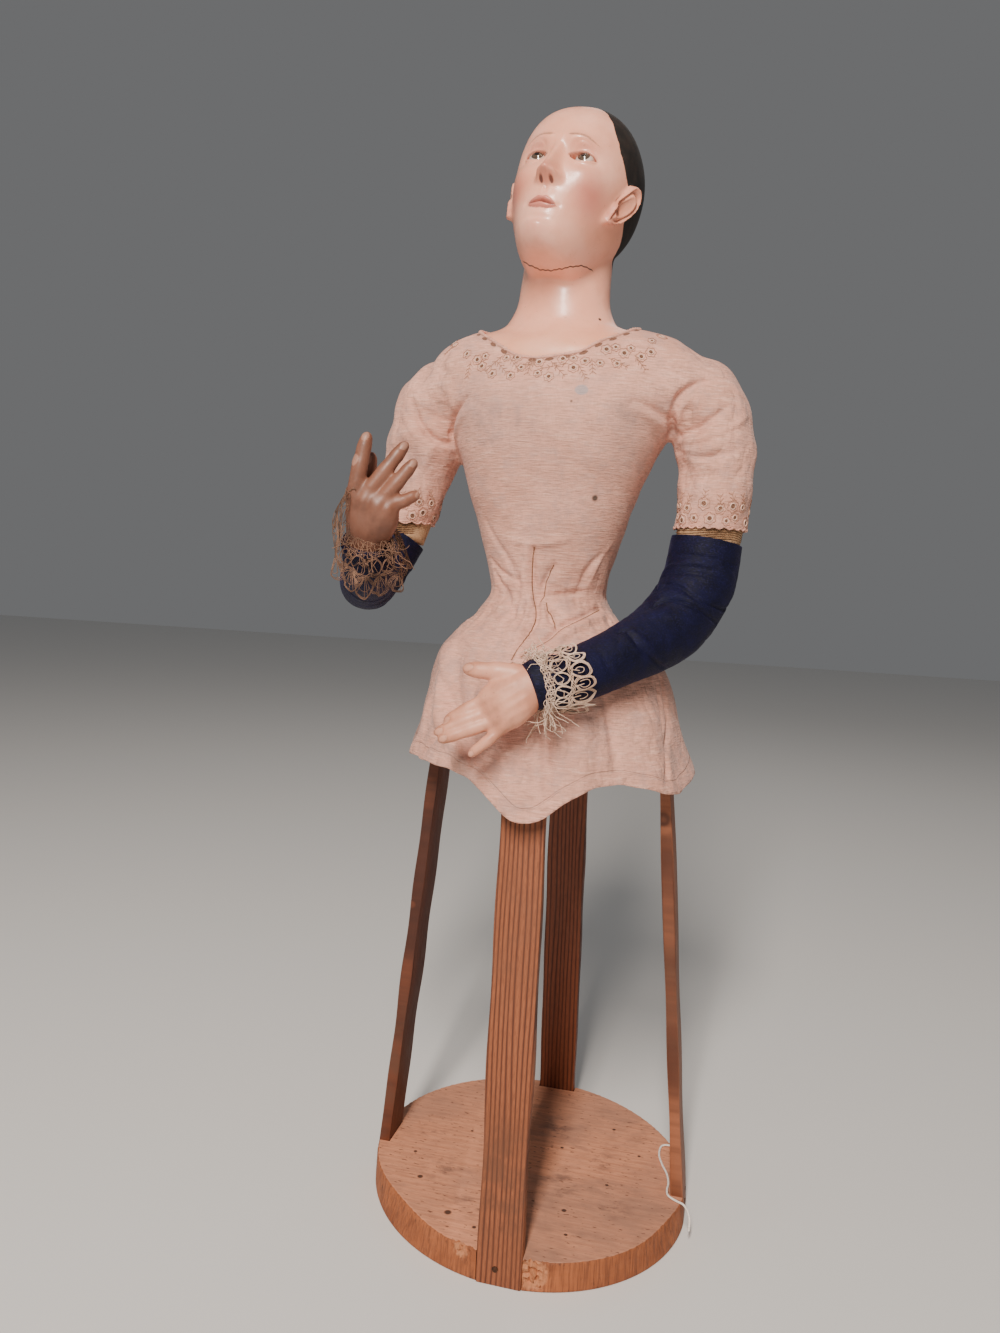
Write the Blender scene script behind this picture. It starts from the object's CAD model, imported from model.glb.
# %% [markdown]
# # A processional mannequin on its stand
# A carved and painted head, bust and hands stand on a stuffed body in a short linen
# chemise, and four pine slats carry it over a round board. Only what the clothes would
# not hide was carved, so each finish has to look right beside the others.
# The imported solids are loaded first: they fix every size and place.

# %% The frame
import math

import bmesh
import bpy
import numpy as np
from mathutils import Matrix, Vector
from mathutils.bvhtree import BVHTree


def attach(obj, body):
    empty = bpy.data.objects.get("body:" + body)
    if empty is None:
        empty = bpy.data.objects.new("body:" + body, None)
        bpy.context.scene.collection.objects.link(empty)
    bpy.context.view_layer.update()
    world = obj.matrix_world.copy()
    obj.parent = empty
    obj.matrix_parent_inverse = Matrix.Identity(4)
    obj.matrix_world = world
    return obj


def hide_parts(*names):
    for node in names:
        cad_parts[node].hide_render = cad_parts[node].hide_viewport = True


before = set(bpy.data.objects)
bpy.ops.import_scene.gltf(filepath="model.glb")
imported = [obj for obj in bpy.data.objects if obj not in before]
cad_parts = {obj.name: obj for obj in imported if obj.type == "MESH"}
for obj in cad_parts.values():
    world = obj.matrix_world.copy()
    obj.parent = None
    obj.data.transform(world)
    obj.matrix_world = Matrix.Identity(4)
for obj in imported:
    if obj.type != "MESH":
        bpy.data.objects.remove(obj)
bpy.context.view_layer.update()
MM = 0.001
print("nodes", len(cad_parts))

# %% [markdown]
# ## The camera
# It stands a little to the figure's left, at the height of its waist, looks slightly down
# and is rolled by a few degrees. Three angles turn it, in the order a photographer's
# tripod has them.

# %% The camera
lens = bpy.data.cameras.new("camera")
lens.sensor_width = 36.0
lens.lens = 27.03
lens.clip_start = 0.05
CAMERA_PLACE = (0.138, -0.732, 0.4656)
CAMERA_TURN, CAMERA_PITCH, CAMERA_ROLL = 13.9, 4.9, 2.84
camera = bpy.data.objects.new("camera", lens)
bpy.context.collection.objects.link(camera)
camera.matrix_world = (
    Matrix.Translation(CAMERA_PLACE)
    @ Matrix.Rotation(math.radians(CAMERA_TURN), 4, "Z")
    @ Matrix.Rotation(math.radians(90 - CAMERA_PITCH), 4, "X")
    @ Matrix.Rotation(math.radians(CAMERA_ROLL), 4, "Z")
)
bpy.context.scene.camera = camera
print("camera at", CAMERA_PLACE, "m")

# %% [markdown]
# ## The string
# A short white string lies beside the left slat and hangs over the board's rim. It is a
# curve with a round bevel through the points of its route, and its length is real.

# %% The string
STRING_LEVEL = 22.1
string_route = [(x, y, STRING_LEVEL) for x, y in (
    (112, 19), (110.5, 34), (104.5, 49), (98.5, 47), (97, 34), (100.5, 20.5), (105.2, 8.5), (107.2, -3),
    (106.9, -12), (108.3, -18.3), (114, -22.8))]
string_route += [(120.5, -27, STRING_LEVEL + 0.2), (124.8, -33, 17.5), (125, -36.5, 10)]


def along_line(points, share):
    """The place at a share of the smooth line through points (a centripetal Catmull-Rom curve)."""
    points = [np.array(point, float) for point in points]
    spot = min(share, 0.999999) * (len(points) - 1)
    k = int(spot)
    t = spot - k
    a, b = points[k], points[k + 1]
    before = points[k - 1] if k else 2 * a - b
    after = points[k + 2] if k + 2 < len(points) else 2 * b - a
    spans = (a - before, b - a, after - b)
    gaps = [max(np.linalg.norm(span) ** 0.5, 1e-4) for span in spans]
    leave = ((a - before) / gaps[0] - (b - before) / (gaps[0] + gaps[1]) + (b - a) / gaps[1]) * gaps[1]
    arrive = ((b - a) / gaps[1] - (after - a) / (gaps[1] + gaps[2]) + (after - b) / gaps[2]) * gaps[1]
    return ((2 * t ** 3 - 3 * t ** 2 + 1) * a + (t ** 3 - 2 * t ** 2 + t) * leave
            + (3 * t ** 2 - 2 * t ** 3) * b + (t ** 3 - t ** 2) * arrive)


string_points = [along_line(string_route, step / 78) for step in range(79)]
string_length = sum(np.linalg.norm(b - a) for a, b in zip(string_points, string_points[1:]))
print("string", round(string_length), "mm")

# %% [markdown]
# ## Working with meshes
# Each new piece is one bmesh. A loft is a stack of circles whose points are moved to the
# section they stand for and bridged to the next circle. Lofts that overlap are fused
# with a voxel remesh, as clay is pressed together, and then smoothed and sculpted by
# moving vertices with functions of their place.

# %% Lofts and limbs
def edges_of(verts):
    """The edges that meet these points, each once and in a fixed order."""
    return list(dict.fromkeys(edge for vert in verts for edge in vert.link_edges))


def loft(sections, segments):
    """A closed form through sections, each a function from a turn (0 in front) to a place in mm."""
    bm = bmesh.new()
    loops = []
    for section in sections:
        circle = bmesh.ops.create_circle(bm, segments=segments, radius=1.0)["verts"]
        for vert in circle:
            vert.co = Vector(section(math.atan2(vert.co.x, -vert.co.y))) * MM
        loops.append(edges_of(circle))
    for below, above in zip(loops, loops[1:]):
        bmesh.ops.bridge_loops(bm, edges=below + above)
    for end in (loops[0], loops[-1]):
        bmesh.ops.contextual_create(bm, geom=end)
    bmesh.ops.recalc_face_normals(bm, faces=bm.faces[:])
    return bm


def superellipse(turn, reach, power=2.0):
    """Across and ahead at a turn, for a section with its own reach left, right, in front and behind."""
    left, right, front, back = reach
    across, ahead = math.sin(turn), math.cos(turn)
    across = math.copysign(abs(across) ** (2 / power), across)
    ahead = math.copysign(abs(ahead) ** (2 / power), ahead)
    return across * (right if across > 0 else left), ahead * (front if ahead > 0 else back)


def level_ring(x, y, z, reach, power=2.0):
    """A level section round a place."""
    def section(turn):
        across, ahead = superellipse(turn, reach, power)
        return x + across, y - ahead, z
    return section


def smooth(rows, steps):
    """Rows of numbers, with smooth ones put in between."""
    rows = [np.array(row, float) for row in rows]
    at = lambda k: rows[min(max(k, 0), len(rows) - 1)]
    result = []
    for k in range(len(rows) - 1):
        a, b, c, d = at(k - 1), at(k), at(k + 1), at(k + 2)
        for step in range(steps):
            t = step / steps
            bend = t * t * (3 - 2 * t)
            result.append(b + (c - b) * bend + (c - a) / 2 * t * (1 - t) ** 2
                          - (d - b) / 2 * t * t * (1 - t))
    return result + [rows[-1]]


def limb(points, radii, steps, segments, wide=(1, 0, 0), dome=0.0, grow=0.0, shape=None):
    """A limb along a smooth line, round in section. A domed end closes as a ball does."""
    sections = []
    for step in range(steps + 1):
        share = step / steps
        if dome:
            share = 1 - (1 - share) ** 1.6
        centre = Vector(along_line(points, share))
        way = Vector(along_line(points, min(share + 0.01, 1)) - along_line(points, max(share - 0.01, 0)))
        ahead = way.cross(Vector(wide)).normalized()
        side = ahead.cross(way).normalized()
        radius = float(np.interp(share * (len(radii) - 1), range(len(radii)), radii))
        if dome and share > 1 - dome:
            near = (share - (1 - dome)) / dome
            radius *= math.sqrt(max(1 - near * near, 0.01))
        radius += grow

        def section(turn, centre=centre, side=side, ahead=ahead, radius=radius, share=share):
            size = radius * (shape(share, turn) if shape else 1)
            return centre + side * (math.sin(turn) * size) + ahead * (math.cos(turn) * size)
        sections.append(section)
    return loft(sections, segments)


# %% A skin's points
def points_of(bm):
    return np.array([vert.co for vert in bm.verts], float) / MM


def move_points(bm, places):
    for vert, place in zip(bm.verts, places * MM):
        vert.co = place
    bm.normal_update()


def normals_of(bm):
    return np.array([vert.normal for vert in bm.verts], float)


def soften(bm, times, factor=0.5, verts=None):
    for _ in range(times):
        bmesh.ops.smooth_vert(bm, verts=verts or bm.verts[:], factor=factor,
                              use_axis_x=True, use_axis_y=True, use_axis_z=True)
    bm.normal_update()


def as_data(name, bm):
    """Blender's own kind of mesh from a bmesh, which goes."""
    mesh = bpy.data.meshes.new(name)
    bm.to_mesh(mesh)
    bm.free()
    return mesh


def in_scene(name, data):
    """An object in the scene."""
    made = bpy.data.objects.new(name, data)
    bpy.context.collection.objects.link(made)
    return made


def as_mesh(thing):
    """A bmesh of what an object looks like in the scene. The object itself goes."""
    graph = bpy.context.evaluated_depsgraph_get()
    made = bmesh.new()
    made.from_mesh(bpy.data.meshes.new_from_object(thing.evaluated_get(graph)))
    bpy.data.objects.remove(thing)
    return made


# %% Fusing and cutting
def evaluated(bm, modifiers):
    """A new bmesh of this one with modifiers applied, each (type, settings)."""
    work = in_scene("work", as_data("work", bm))
    for kind, settings in modifiers:
        modifier = work.modifiers.new(kind, kind)
        for key, value in settings.items():
            setattr(modifier, key, value)
    return as_mesh(work)


def together(parts):
    whole = bmesh.new()
    for part in parts:
        whole.from_mesh(as_data("part", part))
    return whole


def fused(parts, voxel):
    """One skin round closed parts that overlap."""
    return evaluated(together(parts), [("REMESH", {"mode": "VOXEL", "voxel_size": voxel * MM})])


def cut_by(bm, tool, operation="DIFFERENCE"):
    """The first closed form cut by the second."""
    cutter = in_scene("tool", as_data("tool", tool))
    result = evaluated(bm, [("BOOLEAN", {"object": cutter, "operation": operation, "solver": "EXACT"})])
    bpy.data.objects.remove(cutter)
    return result


def trim(bm, amounts):
    """Cuts a mesh along the line where a function of place is 0, and drops what lies below 0."""
    values = dict(zip(bm.verts, amounts(points_of(bm))))
    crossed = [edge for edge in bm.edges if values[edge.verts[0]] * values[edge.verts[1]] < 0]
    made = []
    for edge in crossed:
        first, second = edge.verts
        made.append(bmesh.utils.edge_split(edge, first, values[first]
                                           / (values[first] - values[second]))[1])
        values[made[-1]] = 0.0
    bmesh.ops.connect_verts(bm, verts=made)
    lost = [face for face in bm.faces if sum(values[vert] for vert in face.verts) < 0]
    bmesh.ops.delete(bm, geom=lost, context="FACES")


def edge_lines(bm):
    """The open edges of a mesh as closed lines of places in mm, the longest first."""
    left = dict.fromkeys(edge for edge in bm.edges if edge.is_boundary)
    lines = []
    while left:
        edge = left.popitem()[0]
        start, at = edge.verts
        line = [start.co / MM, at.co / MM]
        while at is not start:
            edge = next((e for e in at.link_edges if e in left), None)
            if edge is None:
                break
            del left[edge]
            at = edge.other_vert(at)
            line.append(at.co / MM)
        lines.append(np.array(line))
    return sorted(lines, key=len, reverse=True)


# %% Functions of place
def smoothstep(low, high, value):
    t = np.clip((value - low) / (high - low), 0, 1)
    return t * t * (3 - 2 * t)


def bell(value, centre, spread):
    return np.exp(-(((value - centre) / spread) ** 2))


def distance_to_line(places, line):
    """How far each place is from a line through points, and how far along the line the nearest place is."""
    line = np.array(line, float)
    best = np.full(len(places), 1e9)
    along = np.zeros(len(places))
    run = 0.0
    for a, b in zip(line, line[1:]):
        way = b - a
        length = np.linalg.norm(way)
        t = np.clip(((places - a) @ way) / max(length ** 2, 1e-9), 0, 1)
        gap = np.linalg.norm(places - (a + t[:, None] * way), axis=1)
        nearer = gap < best
        best = np.where(nearer, gap, best)
        along = np.where(nearer, run + t * length, along)
        run += length
    return best, along


def laid(tree, line, count=24):
    """A smooth line through places, laid on a surface."""
    return [tree.find_nearest(Vector(along_line(line, k / count)) * MM)[0] / MM for k in range(count + 1)]


def write_values(bm, name, values):
    layer = bm.verts.layers.float.get(name) or bm.verts.layers.float.new(name)
    for vert, value in zip(bm.verts, values):
        vert[layer] = float(value)


# %% A finished piece
def crisp(bm, degrees=35):
    """Marks the edges where two faces meet at a sharp angle, so they stay sharp when shaded."""
    for edge in bm.edges:
        edge.smooth = not (len(edge.link_faces) == 2 and edge.calc_face_angle(0) > math.radians(degrees))


def piece(name, bm, finish, slot, *nodes):
    """A finished piece in the scene, which stands for CAD nodes."""
    mesh = as_data(name, bm)
    mesh.polygons.foreach_set("use_smooth", [True] * len(mesh.polygons))
    mesh.materials.append(finish)
    made = in_scene(name, mesh)
    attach(made, "root")
    if nodes:
        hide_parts(*nodes)
    print(name, len(mesh.polygons), "faces")
    return made


# %% [markdown]
# ## Working with finishes
# A finish is a node tree. Shader maths reads best as plain sums, so one small class
# wraps an output socket and turns + - * / into Math nodes. Every other node comes from
# one method.

# %% Helpers for finishes
class Link:
    """One output of a shader node. Arithmetic on it adds Math nodes."""

    def __init__(self, finish, socket):
        self.finish, self.socket = finish, socket

    def math(self, operation, *others):
        return self.finish.node("ShaderNodeMath", {"operation": operation},
                                {k: value for k, value in enumerate([self, *others])})

    def __add__(self, other): return self.math("ADD", other)
    def __sub__(self, other): return self.math("SUBTRACT", other)
    def __mul__(self, other): return self.math("MULTIPLY", other)
    def __truediv__(self, other): return self.math("DIVIDE", other)
    def __rsub__(self, other): return self.finish.number(other).math("SUBTRACT", self)
    __radd__ = __add__
    __rmul__ = __mul__

    def size(self): return self.math("ABSOLUTE")
    def most(self, other): return self.math("MAXIMUM", other)
    def least(self, other): return self.math("MINIMUM", other)

    def between(self, low, high, start=0.0, end=1.0):
        """This value, eased from start to end as it goes from low to high."""
        return self.finish.node("ShaderNodeMapRange", {"interpolation_type": "SMOOTHSTEP"},
                                {0: self, 1: low, 2: high, 3: start, 4: end})


class Finish:
    """A material and the nodes that make it."""

    def __init__(self, name):
        self.material = bpy.data.materials.new(name)
        self.material.use_nodes = True
        self.tree = self.material.node_tree
        self.shader = self.tree.nodes["Principled BSDF"]
        self.places = self.node("ShaderNodeTexCoord", output="Object")

    def node(self, kind, settings=None, inputs=None, output=0):
        made = self.tree.nodes.new(kind)
        for key, value in (settings or {}).items():
            setattr(made, key, value)
        for key, value in (inputs or {}).items():
            if isinstance(value, Link):
                self.tree.links.new(value.socket, made.inputs[key])
            else:
                made.inputs[key].default_value = value
        return Link(self, made.outputs[output])

    def number(self, value):
        return self.node("ShaderNodeMath", {"operation": "ADD"}, {0: value, 1: 0.0})

    def value(self, name):
        """A number that the mesh holds at each vertex."""
        return self.node("ShaderNodeAttribute", {"attribute_name": name}, output="Fac")

    def stretched(self, x, y, z):
        """Object coordinates, scaled each way."""
        return self.node("ShaderNodeMapping", None, {"Vector": self.places, "Scale": (x, y, z)})

    def noise(self, scale, detail=3.0, roughness=0.55, places=None):
        return self.node("ShaderNodeTexNoise", None, {
            "Vector": places or self.places, "Scale": scale, "Detail": detail, "Roughness": roughness})

    def axis(self, name):
        return self.node("ShaderNodeSeparateXYZ", None, {0: self.places}, name)

    def mix(self, share, first, second, blend="MIX"):
        made = self.tree.nodes.new("ShaderNodeMix")
        made.data_type, made.blend_type = "RGBA", blend
        for key, value in ((0, share), (6, first), (7, second)):
            if isinstance(value, Link):
                self.tree.links.new(value.socket, made.inputs[key])
            else:
                made.inputs[key].default_value = value if key == 0 else (*value, 1)
        return Link(self, made.outputs[2])

    def over(self, colour, *coats):
        """A colour with others laid over it in turn, each (share, colour)."""
        for share, coat in coats:
            colour = self.mix(share, colour, coat)
        return colour

    def near(self, centre, radius, edge=0.3):
        """1 inside a ball round a place in mm, and 0 outside it."""
        gap = self.node("ShaderNodeVectorMath", {"operation": "DISTANCE"},
                        {0: self.places, 1: tuple(v * MM for v in centre)}, "Value")
        return gap.between(radius * (1 - edge) * MM, radius * MM, 1.0, 0.0)

    def bump(self, height, distance, strength=1.0, normal=None):
        inputs = {"Height": height, "Distance": distance * MM, "Strength": strength}
        if normal:
            inputs["Normal"] = normal
        return self.node("ShaderNodeBump", None, inputs)

    def set(self, **sockets):
        for key, value in sockets.items():
            socket = self.shader.inputs[key.replace("_", " ")]
            if isinstance(value, Link):
                self.tree.links.new(value.socket, socket)
            else:
                socket.default_value = ((*value, 1) if isinstance(value, tuple)
                                        and len(value) == 3 else value)
        return self.material


# %% [markdown]
# ## Pine
# Pine shows its growth as dark lines a few millimetres apart that run the length of a
# slat and wander slightly. They are a sine across the slat, bent by noise that is
# stretched along the grain, so no line is quite like the next.

# %% Pine
def pine(name, across, along, light, dark, rings=3.4, knots=(), stains=()):
    f = Finish(name)
    dot = lambda vector: f.node("ShaderNodeVectorMath", {"operation": "DOT_PRODUCT"},
                                {0: f.places, 1: vector}, "Value")
    side, run = dot(across), dot(along)
    grain_places = f.node("ShaderNodeCombineXYZ", None,
                          {0: side * 1.0, 1: run * 0.045, 2: f.axis("Z") * 0.05})
    wander = f.noise(70, 2, 0.5, grain_places) - 0.5
    phase = side * (1000 * 2 * math.pi / rings) + wander * 13
    for place, reach in knots:
        near = f.near(place, reach, 0.9)
        phase = phase + near * 7
    wave = phase.math("SINE") * 0.5 + 0.5
    late = wave.math("POWER", 2.4)
    streak = f.noise(900, 3, 0.6, grain_places)
    fibre = f.noise(2600, 2, 0.6, grain_places)
    patches = f.noise(16, 3, 0.6)
    colour = f.mix(late * streak.between(0.2, 0.5, 0.65, 1.0), light, dark)
    colour = f.over(
        colour,
        (patches.between(0.42, 0.7, 0.0, 0.3), tuple(c * 0.6 for c in light)),
        (fibre.between(0.35, 0.75, 0.0, 0.45), tuple(c * 0.8 for c in dark)),
    )
    for place, reach in knots:
        colour = f.mix(f.near(place, reach * 0.42, 0.35), colour, tuple(c * 0.25 for c in dark))
    for place, reach, tint, strength in stains:
        spread = f.near(place, reach, 0.8) * f.noise(60, 3, 0.6).between(0.35, 0.62)
        colour = f.mix(spread * strength, colour, tint)
    height = fibre * 0.5 + late * 0.35 + streak * 0.5
    return f.set(Base_Color=colour, Roughness=streak.between(0.2, 0.8, 0.5, 0.72),
                 Normal=f.bump(height, 0.35, 0.7))


# %% [markdown]
# ## The slats
# Each slat is a plain lath that leans inward from the rim to the hips. It starts as a
# cube whose corners go to their places; its edges get a small worn bevel, and cuts along
# its length let the edges wander as sawn edges do.

# %% The slats
SLAT_TOP, SLAT_WIDTH, SLAT_THICKNESS, SLAT_LEAN = 376.0, 31.0, 8.5, 0.091
slat_places = {"slat_front": (0, 6, -1), "slat_left": (90, 0, 0), "slat_back": (180, 0, 0),
               "slat_right": (-90, 0, 0)}


def board_radius(turn):
    return 120.5 + 3.5 * math.sin(2 * turn)


def slat_point(turn, foot, top, across, depth, height):
    """A place on a slat: across its width, inward from its outer face, and up."""
    out = board_radius(math.radians(turn)) - SLAT_LEAN * height - depth
    place = Vector((foot + (top - foot) * height / SLAT_TOP + across, -out, height))
    return Matrix.Rotation(math.radians(turn), 3, "Z") @ place


def slat_form(turn, foot, top, grow=0.0):
    bm = bmesh.new()
    cube = bmesh.ops.create_cube(bm, size=1.0)["verts"]
    for vert in cube:
        depth = SLAT_THICKNESS + grow if vert.co.y > 0 else -grow * 30
        height = SLAT_TOP + grow if vert.co.z > 0 else -grow
        vert.co = slat_point(turn, foot, top, vert.co.x * (SLAT_WIDTH + 2 * grow), depth, height) * MM
    bmesh.ops.recalc_face_normals(bm, faces=bm.faces[:])
    return bm


slat_looks = {
    "slat_front": dict(light=(0.34, 0.105, 0.040), dark=(0.085, 0.019, 0.006),
                       stains=[((6, -112, 70), 60, (0.10, 0.04, 0.02), 0.5),
                               ((4, -116, 40), 5, (0.03, 0.012, 0.008), 0.9),
                               ((3, -100, 230), 70, (0.16, 0.06, 0.03), 0.3)]),
    "slat_left": dict(light=(0.38, 0.130, 0.058), dark=(0.095, 0.026, 0.010), knots=[((87, -10, 300), 13)],
                      stains=[((100, 0, 180), 70, (0.12, 0.05, 0.025), 0.5)]),
    "slat_back": dict(light=(0.24, 0.066, 0.026), dark=(0.06, 0.013, 0.005)),
    "slat_right": dict(light=(0.15, 0.038, 0.013), dark=(0.05, 0.011, 0.004), knots=[((-100, -12, 214), 6)],
                       stains=[((-112, -8, 90), 80, (0.10, 0.04, 0.02), 0.6)]),
}
for number, (name, (turn, foot, top)) in enumerate(slat_places.items()):
    slat = slat_form(turn, foot, top)
    bmesh.ops.bevel(slat, geom=slat.edges[:], offset=0.9 * MM, offset_type="OFFSET", segments=2,
                    profile=0.5, affect="EDGES", material=-1)
    long_edges = [edge for edge in slat.edges if abs(edge.verts[0].co.z - edge.verts[1].co.z) > 0.3]
    bmesh.ops.subdivide_edges(slat, edges=long_edges, cuts=60, use_grid_fill=True)
    places = points_of(slat)
    rng = np.random.default_rng(7 + number)
    waves = [(rng.uniform(0.015, 0.09), rng.uniform(0, 6), rng.uniform(0.08, 0.24)) for _ in range(6)]
    level = places[:, 2]
    wander = sum(size * np.sin(rate * level + start) for rate, start, size in waves)
    places += normals_of(slat) * (wander * smoothstep(0, 30, level)
                                  * smoothstep(SLAT_TOP, 350, level))[:, None]
    move_points(slat, places)
    across = Matrix.Rotation(math.radians(turn), 3, "Z") @ Vector((1, 0, (foot - top) / SLAT_TOP))
    crisp(slat, 40)
    piece(name, slat, pine(name, across[:], (0, 0, 1), **slat_looks[name]), "slat_pine", name)

# %% [markdown]
# ## The board
# The board is pine too, a wide plank whose rim the saw left ribbed and that chipped where
# the slats went in. Its form is a loft of rings with a soft edge, and the four notches are
# cut by the slats' own shapes, so they fit.

# %% The board's form
BOARD_TOP = 21


def rim_slant(turn):
    """How far the sawn rim leans in at its top, in mm."""
    def dip(centre, width, depth):
        return depth * math.exp(-((turn - math.radians(centre)) / math.radians(width)) ** 2)
    return dip(-42, 22, 5.5) + dip(66, 15, 3.5)


def rim_ring(height, inset, slanted):
    def section(turn):
        radius = board_radius(turn) - inset - (rim_slant(turn) * slanted)
        return radius * math.sin(turn), -radius * math.cos(turn), height
    return section


board = loft([rim_ring(0, 1.2, 0), rim_ring(0.4, 0.4, 0.02), rim_ring(1.2, 0, 0.05)]
             + [rim_ring(z, 0, z / 21) for z in np.linspace(3, 19.4, 9)]
             + [rim_ring(20.4, 0.3, 0.98), rim_ring(BOARD_TOP, 1.1, 1)], 480)
places = points_of(board)
turns = np.arctan2(places[:, 0], -places[:, 1])
on_rim = (np.hypot(places[:, 0], places[:, 1]) > 100) & (places[:, 2] > 1)
rng = np.random.default_rng(11)
ribs = sum(0.12 * np.sin(turns * rate + rng.uniform(0, 6)) for rate in (83, 127, 149))
level = places[:, 2]
torn = (bell(turns, -0.17, 0.06) * smoothstep(8, 20, level)
        + bell(turns, 0.23, 0.075) * smoothstep(1, 5, level))
torn = torn * 1.9 * (1.2 + rng.uniform(-1.1, 1.1, len(turns)) + 0.5 * np.sin(level * 1.3 + turns * 60))
inward = np.where(on_rim, torn - ribs * smoothstep(1, 6, level), 0)
flat_radius = np.hypot(places[:, 0], places[:, 1])[:, None]
places[:, :2] *= 1 - inward[:, None] / flat_radius
move_points(board, places)
for turn, foot, top in slat_places.values():
    board = cut_by(board, slat_form(turn, foot, top, 0.3))
crisp(board, 28)

# %% [markdown]
# The board's top is stained, flecked and pitted; its rim keeps the saw's marks. One material
# mixes both by height, so the change falls exactly on the edge.

# %% The board's finish
f = Finish("board_pine")
figure_places = f.stretched(0.14, 1.0, 1.0)
phase = f.axis("Y") * 900 + (f.noise(11, 3, 0.5, figure_places) - 0.5) * 30
figure = (phase.math("SINE") * 0.5 + 0.5).math("POWER", 2.6)
fibre = f.noise(420, 4, 0.65, f.stretched(0.10, 1.0, 1.0))
fine = f.noise(1500, 2, 0.6, f.stretched(0.08, 1.0, 1.0))
patches = f.noise(24, 4, 0.65, f.stretched(0.6, 1.0, 1.0))
grime = f.noise(9, 4, 0.6)
colour = f.mix(figure * 0.22, (0.72, 0.31, 0.175), (0.44, 0.155, 0.08))
colour = f.over(
    colour,
    (fibre.between(0.42, 0.72, 0.0, 0.5), (0.40, 0.16, 0.085)),
    (fine.between(0.5, 0.75, 0.0, 0.4), (0.30, 0.13, 0.075)),
    (patches.between(0.5, 0.68, 0.0, 0.55), (0.34, 0.175, 0.12)),
    (grime.between(0.45, 0.62, 0.0, 0.35), (0.30, 0.17, 0.125)),
)
top_face = f.axis("Z").between(0.0205, 0.0209)
side = 1 - top_face
blots = f.noise(95, 4, 0.65, f.stretched(0.6, 1.0, 1.0)).between(0.45, 0.66)
colour = f.mix(blots * top_face * 0.22, colour, (0.30, 0.14, 0.095))
flecks = f.noise(520, 2, 0.5, f.stretched(0.35, 1.0, 1.0)).between(0.64, 0.70) * top_face
colour = f.mix(flecks * 0.75, colour, (0.11, 0.045, 0.025))
for x, y, reach in ((-62, -38, 17), (-28, -72, 15), (30, -28, 20), (-80, 10, 13),
                    (52, 12, 17), (14, 44, 15), (72, -46, 12), (-40, 52, 12)):
    colour = f.mix(f.near((x, y, BOARD_TOP), reach * 1.3, 0.9) * blots * 0.7, colour, (0.16, 0.085, 0.065))
holes = None
for x, y, reach in ((-72, -52, 2.6), (-40, -86, 3.2), (-18, -96, 1.8), (-86, -22, 1.7), (38, -58, 2.2),
                    (63, -18, 1.5), (44, -84, 1.6), (-6, -64, 1.3), (22, 20, 1.6), (-52, 20, 1.4),
                    (82, 28, 1.5), (58, 60, 1.8)):
    hole = f.near((x, y, BOARD_TOP), reach, 0.5)
    holes = hole if holes is None else holes.most(hole)
colour = f.mix(holes * 0.9, colour, (0.035, 0.015, 0.009))
colour = f.mix(f.near((-97, -62, 20), 2.4, 0.4), colour, (0.78, 0.70, 0.62))
ribbing = f.noise(700, 2, 0.6, f.stretched(1.0, 1.0, 0.05))
sawn = f.mix(f.noise(30, 3, 0.6).between(0.35, 0.7), (0.42, 0.13, 0.044), (0.28, 0.08, 0.026))
sawn = f.mix(ribbing.between(0.38, 0.68, 0.0, 0.75), sawn, (0.17, 0.052, 0.020))
pits = f.noise(240, 3, 0.7, f.stretched(1.0, 1.0, 0.3)).between(0.58, 0.7, 0.0, 0.7)
sawn = f.mix(pits, sawn, (0.07, 0.024, 0.012))
splinters = f.noise(260, 3, 0.7, f.stretched(1.0, 1.0, 0.4))
chipped = f.near((29, -116, 12), 17, 0.95).most(f.near((-22, -118, 18), 12, 0.95) * 0.8)
fresh = (chipped + splinters * 0.9).between(0.72, 1.0)
sawn = f.mix(fresh * 0.6, sawn, (0.60, 0.26, 0.125))
colour = f.mix(side, colour, sawn)
height = fibre * 0.6 + fine * 0.3 - holes * 2.0 + side * ribbing * 1.6 - flecks * 0.6
board_pine = f.set(Base_Color=colour, Roughness=fibre.between(0.2, 0.8, 0.6, 0.82),
                   Normal=f.bump(height, 0.5, 0.7))
piece("base_board", board, board_pine, "board_pine", "base_board")

# %% [markdown]
# ## The nails
# Each slat's foot is nailed to the rim. A nail head is a low disc with a rounded edge,
# hammered a little into the wood.

# %% The nails
nails = bmesh.new()
for name, (turn, foot, top) in slat_places.items():
    for across, height in ((-1.5, 10), (7.5, 14)) if name != "slat_front" else ((-2.5, 11),):
        spot = slat_point(turn, foot, top, across, -0.15, height)
        out = (slat_point(turn, foot, top, across, -1, height) - spot).normalized()
        place = Matrix.Translation(spot * MM) @ out.to_track_quat("Z", "Y").to_matrix().to_4x4()
        disc = bmesh.ops.create_cone(nails, cap_ends=True, segments=20, radius1=2.2 * MM, radius2=1.9 * MM,
                                     depth=0.9 * MM, matrix=place)["verts"]
        bmesh.ops.bevel(nails, geom=edges_of(disc), offset=0.2 * MM, segments=2, profile=0.5,
                        affect="EDGES", material=-1)
f = Finish("nail_iron")
rust = f.noise(900, 3, 0.6)
rusty = f.mix(rust.between(0.35, 0.65), (0.035, 0.022, 0.017), (0.13, 0.055, 0.028))
nail_iron = f.set(Base_Color=rusty, Metallic=0.7, Roughness=rust.between(0.3, 0.7, 0.45, 0.8),
                  Normal=f.bump(rust, 0.2, 0.7))
piece("nail_heads", nails, nail_iron, "slat_pine")

# %% [markdown]
# ## The body's measures
# The stuffed body is a stack of oval sections, from the hips through the drawn-in waist to
# the shoulders, with a roll across the shoulders. The linen is cut to it, so both use
# these rows: height, middle across, middle in depth, half width, reach ahead and behind.

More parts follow.
